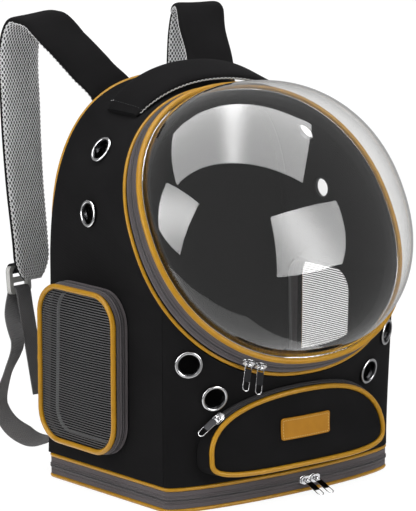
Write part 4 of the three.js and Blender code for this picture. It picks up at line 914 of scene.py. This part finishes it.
# The dark metal serves two things: the pulls' real gunmetal plates, and painted shade inside the chrome eyelets.
gunmetal_and_painted_shade, _, _ = plain("gunmetal_and_painted_shade", (0.03, 0.03, 0.032), 0.3, Metallic=1.0)
eyelet_profile = [(11.2, -4.4), (11.2, 0), (13.9, 0), (14, 0.4), (13.6, 1.1), (12.9, 1.5), (12, 1.5), (11.2, 1.1),
                  (10.5, 0.3), (10, -0.8), (10, -4.4)]
# Painted shade: the eyelets' inner slope and barrel take the dark metal, for the shade and dark reflections inside the
# chrome ring.
eyelet_shade_paint = [1, 0, 0, 0, 0, 0, 0, 1, 1, 1, 1]
for name, (origin, across, up, out) in eyelet_places.items():
    seated = (origin + out * 1.4, across, up, out)
    ready(lathe(f"vent_{name}", seated, eyelet_profile, [chrome, gunmetal_and_painted_shade], eyelet_shade_paint), "chrome", f"eyelet_{name}")

# Front pocket: a half-moon pouch. Its wall is grey zip tape over the top and black cloth below, amber
# piping runs round its face, and a blank leather patch is stitched on the middle.
pocket_width, pocket_rise, pocket_drop, pocket_widest_height = 224, 64, 26, 58
pocket_fullness, pocket_floor_fullness, pocket_crown = 2.15, 4, 3
pocket_proud, pocket_top_proud, pocket_flare = 19, 8, 5
pocket_piping_radius, pocket_lift = 2.6, 1.4
pocket_zip_turns = (33, 147)


def pocket_depth(height):
    """How far the piping round the face stands out: the pouch is deep at its floor."""
    rise = np.clip((np.asarray(height, float) - pocket_widest_height) / pocket_rise, 0, 1)
    return pocket_proud - (pocket_proud - pocket_top_proud) * rise


def pocket_outline(turn, inset):
    """x and height of the pocket's outline at a turn from its right end."""
    above = np.sin(turn) > 0
    fullness = np.where(above, pocket_fullness, pocket_floor_fullness)
    size = np.where(above, pocket_rise, pocket_drop) - inset
    return (pocket_width / 2 - inset) * full(np.cos(turn), fullness), pocket_widest_height + size * full(np.sin(turn), fullness)


def off_front(x, height, lift):
    point, out = on_front(x, height)
    return point + out * np.asarray(lift, float)[..., None]


def pocket_row(inset, lift_at, turns=None, spread=1.0, count=240):
    """A row of points round the pocket at a lift above the front cloth, and the cloth's directions."""
    turn = np.linspace(0, 2 * np.pi, 1200, endpoint=False) if turns is None else np.radians(np.linspace(*turns, 600))
    x, height = pocket_outline(turn, inset)
    flat = np.stack([x * spread, height, 0 * x], 1)
    closed = turns is None
    even = resample(flat, closed, lengths(flat, closed)[-1] / count)[0]
    return off_front(even[:, 0], even[:, 1], lift_at(even[:, 1])), on_front(even[:, 0], even[:, 1])[1]


def pocket_wall_rows(turns):
    foot = pocket_row(0, lambda height: pocket_lift + 0 * height, turns, 1 + pocket_flare / (pocket_width / 2))[0]
    return foot, pocket_row(1, lambda height: pocket_depth(height) - pocket_piping_radius - gap, turns)[0]


low_row, high_row = pocket_wall_rows(pocket_zip_turns)
pocket_centre = off_front(np.array(0.0), np.array(60.0), 0.0)
dark_tape = cloth_finish("dark_zip_tape", (0.022, 0.021, 0.022), (0.04, 0.038, 0.039), 2.2)
zip_band("pocket_zip", low_row, high_row, low_row - pocket_centre, "pocket_zip_tape", dark_tape, False)
low_row, high_row = pocket_wall_rows((146.5 - 360, 33.5))
share = np.linspace(0, 1, 7)[None, :, None]
wall_rows = low_row[:, None] * (1 - share) + high_row[:, None] * share
along = tangents(low_row, False)
wall_out = unit(np.cross(unit(high_row - low_row), along))
wall_out *= np.sign((wall_out * (low_row - pocket_centre)).sum(-1, keepdims=True))
bulge = 0.8 * np.sin(np.pi * share)
ready(wall("pocket_wall_cloth", wall_rows + wall_out[:, None] * bulge, -wall_out[:, None] * np.ones((1, 7, 1)), 2,
           black_cloth), "black_cloth")
pipe_row, pipe_outs = pocket_row(pocket_piping_radius, pocket_depth)
piping("pocket_piping_cord", pipe_row, pipe_outs, pocket_piping_radius, "pocket_piping", joints=(0.66,))

face_inset = 2 * pocket_piping_radius + gap
turn = np.linspace(np.pi * 0.985, np.pi * 0.015, 121)
across = full(np.cos(turn), pocket_fullness)
rise = full(np.sin(turn), pocket_fullness)
fall = (1 - np.abs(across) ** pocket_floor_fullness) ** (1 / pocket_floor_fullness)
top = pocket_widest_height + (pocket_rise - face_inset) * rise
bottom = pocket_widest_height - (pocket_drop - face_inset) * fall
row_share = np.linspace(0, 1, 41)
face_x = np.repeat(((pocket_width / 2 - face_inset) * across)[:, None], 41, 1)
face_height = bottom[:, None] + (top - bottom)[:, None] * row_share
pillow = np.sin(np.pi * row_share) ** 0.7 * rise[:, None]
face_lift = pocket_depth(face_height) - 0.6 + (pocket_crown + 0.6) * pillow
face_lift += waves(face_x, face_height, 0.5) * pillow
face_points, face_outs = on_front(face_x, face_height)
pocket_face = wall("pocket_face_cloth", face_points + face_outs * face_lift[..., None], -face_outs, 2, black_cloth)
ready(pocket_face, "black_cloth", "pocket_face")

patch_width, patch_height, patch_thickness, patch_centre_height = 62, 26, 1.4, 80
patch_lift = lambda height: pocket_depth(height) + pocket_crown + 2 * gap + patch_thickness
amber_leather = leather_finish("amber_patch_leather", (0.31, 0.13, 0.003), (0.42, 0.185, 0.006), 1.3, 0.6)
pale_thread, _, _ = plain("pale_thread", (0.62, 0.5, 0.24), 0.6)
patch_levels = np.array([0.0, 0.35, 0.7, 0.93, 0.985, 1.0])
patch_edge = rounded_rectangle(patch_width, patch_height, 3, 1.2)
x_rows = patch_edge[:, :1] * patch_levels[::-1]
height_rows = patch_centre_height + patch_edge[:, 1:2] * patch_levels[::-1]
spots, outs = on_front(x_rows, height_rows)
drops = np.where(patch_levels[::-1] > 0.99, 0.5, np.where(patch_levels[::-1] > 0.95, 0.12, 0.0))
top_rows = spots + outs * (patch_lift(height_rows) - drops)[..., None]
patch_grid = np.concatenate([top_rows[:, :1] - outs[:, :1] * (patch_thickness - 0.5), top_rows], 1)
n, m = patch_grid.shape[:2]
faces, _ = skin(patch_grid, np.zeros(n + 1), np.zeros(m), True, False)
patch_faces = faces.tolist() + [(np.arange(n) * m).tolist()[::-1]]
patch = make("leather_patch", patch_grid.reshape(-1, 3), patch_faces, amber_leather, None, 40)
ready(patch, "amber_leather", "label_patch")
stitch_edge = rounded_rectangle(patch_width - 4.4, patch_height - 4.4, 1.6, 1.0)
stitch_row, stitch_outs = on_front(stitch_edge[:, 0], patch_centre_height + stitch_edge[:, 1])
stitch_row += stitch_outs * (patch_lift(patch_centre_height + stitch_edge[:, 1]) + 0.1)[:, None]
ready(stitch_line("patch_stitches", stitch_row, stitch_outs, pale_thread, True, 2.0, 3.0, 0.5), "amber_leather")

# Air mesh lines the handle and the straps: a grey knit with rows of hexagonal cells over a dark core
air_mesh, given, output = new_group("air_mesh", {"Vector": "v", "Cell": "f"}, {"Height": "f", "Hole": "f"})
shrunk = node(air_mesh, "ShaderNodeVectorMath", {"operation": "SCALE"}, Vector=given["Vector"],
              Scale=maths(air_mesh, "DIVIDE", 1.0, given["Cell"]))
stretched = node(air_mesh, "ShaderNodeVectorMath", {"operation": "MULTIPLY"}, i0=shrunk.outputs[0], i1=(1, 0.62, 0))
nearest = []
for offset in (0.0, 0.5):
    moved = node(air_mesh, "ShaderNodeVectorMath", {"operation": "ADD"}, i0=stretched.outputs[0], i1=(offset, offset, 0))
    wrapped = node(air_mesh, "ShaderNodeVectorMath", {"operation": "WRAP"}, i0=moved.outputs[0], i1=(0.5, 0.5, 0.5),
                   i2=(-0.5, -0.5, -0.5))
    nearest.append(node(air_mesh, "ShaderNodeVectorMath", {"operation": "LENGTH"}, i0=wrapped.outputs[0]).outputs["Value"])
distance = maths(air_mesh, "MINIMUM", *nearest)
hole = node(air_mesh, "ShaderNodeMapRange", {"interpolation_type": "SMOOTHSTEP"}, Value=distance)
for key, value in (("From Min", 0.2), ("From Max", 0.32), ("To Min", 1.0), ("To Max", 0.0)):
    hole.inputs[key].default_value = value
air_mesh.links.new(hole.outputs["Result"], output.inputs["Hole"])
air_mesh.links.new(maths(air_mesh, "SUBTRACT", 1.0, hole.outputs["Result"]), output.inputs["Height"])


def air_mesh_finish(name, cell):
    material, tree, shader = plain(name, (0.2, 0.2, 0.205), 0.85, Sheen_Weight=0.1)
    cells = group(tree, air_mesh, Vector=on_uv(tree), Cell=cell)
    blend = node(tree, "ShaderNodeMix", {"data_type": "RGBA"}, Factor=cells.outputs["Hole"])
    blend.inputs[6].default_value, blend.inputs[7].default_value = (0.85, 0.85, 0.86, 1), (0.045, 0.045, 0.046, 1)
    tree.links.new(blend.outputs[2], shader.inputs["Base Color"])
    bump = node(tree, "ShaderNodeBump", Strength=0.9, Distance=0.0012, Height=cells.outputs["Height"])
    tree.links.new(bump.outputs[0], shader.inputs["Normal"])
    return material


grey_air_mesh = air_mesh_finish("grey_air_mesh", 4.0)
edge_cord, _, _ = plain("pale_edge_cord", (0.62, 0.62, 0.62), 0.7)
pad_turns = 2 * np.pi * (np.arange(48) + 0.5) / 48


def pad_grid(centres, across, out, width, thickness):
    """Sections of a padded band: flat with rounded edges, width and thickness given along it."""
    a = 0.5 * full(np.cos(pad_turns), 6)
    b = 0.5 * full(np.sin(pad_turns), 2.5)
    size_a = np.broadcast_to(width, len(centres))[:, None, None]
    size_b = np.broadcast_to(thickness, len(centres))[:, None, None]
    return (centres[:, None] + across[:, None] * (a[None, :, None] * size_a)
            + out[:, None] * (b[None, :, None] * size_b))


def turned(vectors, axes, angles):
    """Vectors turned about axes by angles, row by row."""
    c, s = np.cos(angles)[:, None], np.sin(angles)[:, None]
    return vectors * c + np.cross(axes, vectors) * s + axes * (vectors * axes).sum(-1, keepdims=True) * (1 - c)


def edge_trim(name, line, out, slot):
    """The knitted edge of the air mesh: short slanting loops in two leaning rows along a line."""
    spots, place = resample(line, False, 2.5)
    lifts = carried(out, place, False)
    along = tangents(spots, False)
    sideways = np.cross(lifts, along)
    lean = np.where(np.arange(len(spots)) % 2, 0.75, -0.75)[:, None]
    ready(bars(name, spots, unit(along + sideways * lean), lifts, (3.8, 1.25, 1.25), edge_cord), slot)


# Grab handle: a padded band over the top, black outside with air mesh beneath, sewn down at both ends
handle_share = np.linspace(-1, 1, 121)
handle_u, handle_s = find_on(gusset_surface, (0, 1), (handle_share * 104, np.full(121, 38.0)), (handle_share * 0.4, 0.4))
handle_out = gusset_out(handle_u, handle_s)
squash = 1 - 0.35 * handle_share ** 8
lift = squash * 4 + 2 * gap + 10 * np.maximum(np.cos(np.pi / 2 * handle_share), 0) ** 0.8
handle_middle = gusset_surface(handle_u, handle_s) + handle_out * lift[:, None]
handle_across = unit(Y - handle_out * (handle_out @ Y)[:, None])
droop = np.radians(15) * np.cos(np.pi / 2 * handle_share) ** 0.6
handle_across = turned(handle_across, unit(np.cross(handle_out, handle_across)), -droop)
handle_grid = pad_grid(handle_middle, handle_across, handle_out, 50 * (1 - 0.06 * np.cos(np.pi / 2 * handle_share)),
                       8 * squash)
under_side = (np.sin(pad_turns + np.pi / 48) < -0.45).astype(int)
handle = loft("handle_pad", handle_grid, [black_cloth, grey_air_mesh], paint=under_side)
ready(handle, "black_cloth", "handle")
for side_name, spot in (("front", 25), ("back", 46)):
    line = handle_grid[3:-3, spot]
    edge_trim(f"handle_edge_{side_name}", line, unit(line - handle_middle[3:-3]), "black_cloth")
for side_name, row in (("left", 4), ("right", 116)):
    line = handle_grid[row, 3:22]
    ready(stitch_line(f"handle_end_stitches_{side_name}", line + handle_out[row] * 0.1,
                      np.tile(handle_out[row], (19, 1)), black_thread_and_gap_shade), "black_cloth")
    line = handle_grid[row, 3:8]
    ready(stitch_line(f"handle_tack_{side_name}", line + handle_out[row] * 0.4, np.tile(handle_out[row], (5, 1)),
                      edge_cord), "black_cloth")


def smooth_path(points, share):
    """The centripetal curve through points, at shares of its count of spans."""
    points = np.asarray(points, float)
    ends = np.vstack([2 * points[0] - points[1], points, 2 * points[-1] - points[-2]])
    place = np.clip(share, 0, 1) * (len(points) - 1)
    first = np.minimum(place.astype(int), len(points) - 2)
    weight = (place - first)[:, None]
    p0, p1, p2, p3 = (ends[first + k] for k in range(4))
    d0, d1, d2 = (np.sqrt(np.linalg.norm(b - a, axis=1, keepdims=True)) for a, b in ((p0, p1), (p1, p2), (p2, p3)))
    t1 = ((p1 - p0) / d0 - (p2 - p0) / (d0 + d1) + (p2 - p1) / d1) * d1
    t2 = ((p2 - p1) / d1 - (p3 - p1) / (d1 + d2) + (p3 - p2) / d2) * d1
    return p1 + weight * (t1 + weight * ((-3 * p1 + 3 * p2 - 2 * t1 - t2) + weight * (2 * p1 - 2 * p2 + t1 + t2)))


def path_along(points, share):
    return unit(smooth_path(points, share + 1e-4) - smooth_path(points, share - 1e-4))


# Shoulder straps: black cloth outside and air mesh inside, from the top of the back in a high bend
# and down behind it. Each row is how far out, how far back and how high the strap's middle runs, as
# shares, and the turn of its width in degrees.
strap_width, strap_thickness, strap_spread, strap_roots = 58, 10, 128, 64
strap_root_height, strap_rise, strap_reach, strap_drop = 372, 102, 100, 280
strap_routes = {
    "left": [(0, 0.08, 0, 0), (0.01, 0.1, 0.25, 0), (0.12, 0.3, 0.5, 0), (0.24, 0.56, 0.78, 0), (0.33, 0.82, 1, 4),
             (0.38, 1.02, 0.99, 10), (0.42, 1.12, 0.75, 13), (0.43, 1.1, -0.36, 14), (0.44, 1.02, -0.62, 17),
             (0.44, 0.92, -0.86, 20), (0.44, 0.88, -1, 20)],
    "right": [(0, 0.08, 0, 0), (0.01, 0.1, 0.25, 0), (0.1, 0.3, 0.55, 0), (0.18, 0.56, 0.82, 0), (0.29, 0.82, 1.04, 0),
              (0.34, 1, 1.02, 0), (0.34, 1.08, 0.78, 0), (0.31, 1.07, -0.4, 0), (0.28, 1.01, -0.65, 8),
              (0.27, 0.92, -0.88, 12), (0.27, 0.88, -1, 12)],
}
strap_ends = {}
for side_name, side in (("left", -1), ("right", 1)):
    routes = np.array(strap_routes[side_name], float)
    height = np.where(routes[:, 2] < 0, strap_root_height + strap_rise + strap_drop * routes[:, 2],
                      strap_root_height + strap_rise * routes[:, 2])
    path = np.stack([side * (strap_roots + strap_spread * routes[:, 0]), back_line + strap_reach * routes[:, 1],
                     height], 1)

    def strap_run(share):
        along = path_along(path, share)
        turn = np.radians(np.interp(share * (len(path) - 1), np.arange(len(path)), routes[:, 3]))
        across = unit(X - along * (along @ X)[:, None])
        across = turned(across, along, side * turn)
        return smooth_path(path, share), along, across, unit(np.cross(along, across))

    share = np.linspace(0, 1, 241)
    centre, along, across, inside = strap_run(share)
    tail = np.maximum(0, share - 0.93) / 0.07
    root = np.maximum(0, 0.05 - share) / 0.05
    width = strap_width * (1 - 0.5 * tail ** 2)
    thickness = strap_thickness * (1 - 0.4 * tail) * (1 - 0.35 * root)
    grid = pad_grid(centre, across, inside, width, thickness)
    mesh_side = (np.sin(pad_turns + np.pi / 48) > 0.36).astype(int)
    strap = loft(f"shoulder_strap_{side_name}", grid, [black_cloth, grey_air_mesh], paint=mesh_side)
    ready(strap, "black_cloth", f"strap_{side_name}")
    for edge_name, spot in (("right", 2), ("left", 21)):
        line = grid[4:-3, spot]
        edge_trim(f"strap_edge_{edge_name}_{side_name}", line, unit(line - centre[4:-3]), "black_cloth")
    strap_ends[side_name] = strap_run(1 - np.array([2, 1, 0]) / 24)

# Below each strap a pale ladder buckle hangs from a sewn black loop, and grey webbing runs from the
# foot of the back up round the buckle's lower bar and down again as a free tail.
buckle_width, buckle_height, buckle_thickness, buckle_bar, buckle_stand = 36, 30, 5, 5, 19
web_width, web_thickness, web_reach, web_flare, tail_length, tail_lean = 25, 1.8, 100, 56, 110, 20
grey_web = cloth_finish("grey_webbing", (0.10, 0.099, 0.101), (0.19, 0.188, 0.19), 0.62, 0.75, 0.8, 0.5, 0.1)
black_web = cloth_finish("black_webbing", (0.010, 0.010, 0.0105), (0.022, 0.022, 0.023), 0.62, 0.8, 0.8, 0.5)
pale_plastic, _, _ = plain("pale_plastic", (0.46, 0.46, 0.44), 0.42)
web_routes = {
    "left": [(0, 0, 0, 0), (0, 0.08, 0, 0), (0.18, 0.17, -0.01, 0), (0.48, 0.25, 0.015, 0), (0.84, 0.32, 0.125, 10),
             (0.97, 0.37, 0.27, 25), (0.72, 0.46, 0.475, 40), (0.36, 0.6, 0.65, 35), (0.05, 0.92, 0.84, 22)],
    "right": [(0, 0, 0, 0), (0, 0.08, 0, 0), (0.06, 0.22, 0.03, 0), (0.06, 0.42, 0.14, 0), (-0.15, 0.66, 0.36, 0),
              (-0.45, 0.85, 0.62, 5), (-0.62, 0.97, 0.82, 10)],
}


def band(name, points, across_rows, material, steps):
    """Flat webbing through points, with slightly rounded edges."""
    share = np.linspace(0, 1, steps)
    along = path_along(points, share)
    place = share * (len(points) - 1)
    across = np.stack([np.interp(place, np.arange(len(points)), np.asarray(across_rows)[:, k]) for k in range(3)], 1)
    across = unit(across - along * (across * along).sum(-1, keepdims=True))
    face = unit(np.cross(along, across))
    turns = 2 * np.pi * (np.arange(24) + 0.5) / 24
    a, b = web_width / 2 * full(np.cos(turns), 14), web_thickness / 2 * full(np.sin(turns), 3)
    grid = smooth_path(points, share)[:, None] + across[:, None] * a[:, None] + face[:, None] * b[:, None]
    return loft(name, grid, material)


def bevelled(piece, width, segments=3):
    """Rounds a piece's edges and bakes it."""
    modifier = piece.modifiers.new("rounding", "BEVEL")
    modifier.width, modifier.segments, modifier.limit_method = width * 0.001, segments, "ANGLE"
    modifier.angle_limit = math.radians(40)
    baked = bpy.data.meshes.new_from_object(piece.evaluated_get(bpy.context.evaluated_depsgraph_get()))
    piece.modifiers.clear()
    piece.data = baked
    return piece


for side_name, side in (("left", -1), ("right", 1)):
    end_points, _, end_across, end_inside = strap_ends[side_name]
    point, across, out = end_points[2], end_across[2], end_inside[2]
    outer_side = np.sign(out[1])
    away = out * outer_side
    edgewise = np.cross(across, away)
    down = edgewise * -np.sign(edgewise[2])
    centre = point + away * buckle_stand
    place = (centre, across, -down, np.cross(across, -down))
    plate = prism(f"ladder_buckle_{side_name}", rounded_rectangle(buckle_width, buckle_height, 5, 1.5), place,
                  -buckle_thickness / 2, buckle_thickness / 2)
    plate.data.materials.clear()
    plate.data.materials.append(pale_plastic)
    slot_height = (buckle_height - 3 * buckle_bar) / 2
    slots = []
    for sign in (1, -1):
        slot_place = (centre - down * sign * (slot_height + buckle_bar) / 2, *place[1:])
        slots.append(prism("buckle_slot", rounded_rectangle(buckle_width - 2 * buckle_bar, slot_height, 1.5, 1.5),
                           slot_place, -9, 9))
    cut(plate, slots)
    ready(bevelled(plate, 0.9), "pale_plastic", f"buckle_{side_name}")

    bend = math.hypot(buckle_bar, buckle_thickness) / 2 + 2 * gap + web_thickness / 2
    bar_middle = (buckle_height - buckle_bar) / 2
    swings = np.radians([-115, -60, -20, 20, 60, 90, 120, 180])[:, None]
    round_bar = lambda sign: centre + down * sign * (bar_middle - bend * np.sin(swings)) + away * bend * np.cos(swings)

    def sewn(index, lift):
        return end_points[index] + end_inside[index] * outer_side * (strap_thickness / 2 + 2 * gap + web_thickness / 2
                                                                     + lift)

    doubled = web_thickness + gap
    loop_points = np.vstack([sewn(0, doubled), sewn(1, doubled), round_bar(-1), sewn(1, 0), sewn(0, 0)])
    loop_across = np.vstack([end_across[0], end_across[1], np.tile(across, (8, 1)), end_across[1], end_across[0]])
    ready(band(f"buckle_loop_web_{side_name}", loop_points, loop_across, black_web, 121), "black_cloth",
          f"buckle_loop_{side_name}")
    foot = np.array([side * (base_width / 2 - 22), back_line + gap, 36])
    routes = np.array(web_routes[side_name], float)
    rise = centre[2] - bar_middle - foot[2]
    route = foot + np.stack([side * web_flare * routes[:, 0], web_reach * routes[:, 1], rise * routes[:, 2]], 1)
    twist = np.radians(-side * routes[:, 3])
    route_across = np.stack([np.cos(twist), np.sin(twist), 0 * twist], 1)
    loop = round_bar(1)[2:]
    tail = loop[-1] + (down * tail_length - Y * tail_lean) * np.array([0.15, 0.5, 1])[:, None]
    points = np.vstack([route, loop, tail])
    across_rows = np.vstack([route_across, np.tile(across, (len(loop) + 3, 1))])
    ready(band(f"strap_webbing_{side_name}", points, across_rows, grey_web, 261), "grey_web", f"webbing_{side_name}")

# Zip sliders and pulls: a chrome slider rides on each zip, and its pull swings on a bridge. Two close
# the dome, two the base, and one the pocket. Each pull is a body of its own.
slider_length, slider_width, slider_body, bridge_opening, bridge_bar, bridge_breadth = 11, 7.4, 2.6, 2.6, 1.1, 2.2
pull_length, pull_width, pull_thickness, seat_lift = 27, 8.6, 1.4, 0.5
shield = np.array([(-0.5, -0.3), (-0.2, -0.5), (0.3, -0.5), (0.5, -0.34), (0.5, 0.34), (0.3, 0.5), (-0.2, 0.5),
                   (-0.5, 0.3)]) * (slider_length, slider_width)


def square(direction_a, direction_b):
    return unit(direction_b - direction_a * (direction_b @ direction_a))


def repainted(piece, material):
    piece.data.materials.clear()
    piece.data.materials.append(material)
    return piece


def slider(name, seat, travel, out, hinge):
    """A slider's wings as one body and its bridge as a second mesh. Gives the pull's pivot."""
    floor = seat + out * seat_lift
    outline = np.column_stack([shield, np.zeros(8)])
    side = np.cross(out, travel)
    body = bevelled(prism(name, outline, (floor, travel, side, out), 0, slider_body), 0.5, 2)
    pivot = seat + out * (slider_body + bridge_opening / 2 + seat_lift)
    rise = square(hinge, out)
    across = np.cross(rise, hinge)
    reach = (bridge_opening + bridge_bar) / 2
    bow = [(-reach, -2.6), (-reach, -1), (-reach, 0.4)]
    bow += [(-reach * math.cos(a), 0.4 + (reach - 0.4) * math.sin(a)) for a in np.radians(np.arange(22.5, 180, 22.5))]
    bow += [(reach, 0.4), (reach, -1), (reach, -2.6)]
    line = pivot + np.array([across * a + rise * b for a, b in bow])
    turns = 2 * np.pi * (np.arange(12) + 0.5) / 12
    along = tangents(line, False)
    normal = np.cross(along, hinge)
    section_a, section_b = bridge_breadth / 2 * full(np.cos(turns), 3), bridge_bar / 2 * full(np.sin(turns), 3)
    grid = line[:, None] + hinge * section_a[:, None] + normal[:, None] * section_b[:, None]
    bridge = loft(name + "_bridge", grid, chrome)
    ready(repainted(body, chrome), "chrome", name)
    ready(bridge, "chrome")
    return pivot


def pull(name, pivot, run, hinge):
    """A pull: a chrome frame from the bar in the bridge to an open tip, with a dark plate in it."""
    half = pull_width / 2 - 0.75
    face = unit(np.cross(run, hinge))
    tip = pull_length - pull_width / 2
    outline = [(0, -half), (0, half)] + [(x, half) for x in (4, 9, 14, 19)]
    outline += [(tip + half * math.sin(a), half * math.cos(a)) for a in np.radians(np.arange(0, 181, 15))]
    outline += [(x, -half) for x in (19, 14, 9, 4)]
    line = np.array([pivot + run * a + hinge * b for a, b in outline])
    frame_line = resample(line, True, 0.7)[0]
    frame_piece = tube(name + "_frame", frame_line, np.tile(face, (len(frame_line), 1)), 0.5, chrome, sides=10)
    ready(frame_piece, "chrome", name, body=name)
    middle, length = pivot + run * 10.6, 12.6
    plate = prism(name + "_plate", rounded_rectangle(length, 2 * half, 0.8, 1.0), (middle, run, hinge, face), -0.5, 0.5)
    ready(bevelled(repainted(plate, gunmetal_and_painted_shade), 0.25, 2), "gunmetal", body=name)


for side_name, offset in (("left", 79), ("right", 66)):
    turn = -math.pi / 2 - math.asin((offset / (ring_width / 2)) ** (ring_fullness / 2))
    start, near = ring_point(turn, 1, piping_radius + gap), ring_point(turn + 0.01, 1, piping_radius + gap)
    end = ring_point(turn, ring_taper - 1, ring_zip_width - ring_piping_radius - gap)
    travel = unit(near - start)
    out = -np.cross(unit(end - start), travel)
    away = square(travel, -out if out[2] > 0 else out)
    pivot = slider(f"ring_slider_{side_name}", (start + end) / 2, travel, away, travel)
    pull(f"ring_pull_{side_name}", pivot, unit(square(travel, -Z) * 0.4 - Z * 0.6), travel)

for side_name, offset in (("left", 14), ("right", 27)):
    turn = math.asin(offset / (front_width / 2))
    point = front_curve(np.array(turn)) + Z * (base_tape_bottom + base_tape_top) / 2
    travel = unit(front_curve(np.array(turn + 0.01)) - front_curve(np.array(turn - 0.01)))
    out = np.array([travel[1], -travel[0], 0])
    pivot = slider(f"base_slider_{side_name}", point - out, travel, out, travel)
    dropped = turned(out[None], travel[None], np.radians([22.0]))[0]
    pull(f"base_pull_{side_name}", pivot, dropped, travel)



def pocket_tape(turn, share):
    """A place on the pocket's wall at a share of its height."""
    (low_x, low_height), (high_x, high_height) = (pocket_outline(np.radians(float(turn)), inset) for inset in (0, 1))
    foot = off_front(low_x * (1 + pocket_flare / (pocket_width / 2)), low_height, np.array(float(pocket_lift)))
    top = off_front(high_x, high_height, pocket_depth(high_height) - pocket_piping_radius - gap)
    return foot * (1 - share) + top * share


seat = pocket_tape(146, 0.5)
run = unit(pocket_tape(147, 0.5) - seat)
hinge = square(run, pocket_tape(146, 1) - pocket_tape(146, 0))
away = np.cross(run, hinge)
pivot = slider("pocket_slider", seat, run, -away if away[2] < 0 else away, hinge)
pull("pocket_pull", pivot, run, hinge)

{"cad": cad_box, "finished": [list(corner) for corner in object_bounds()]}
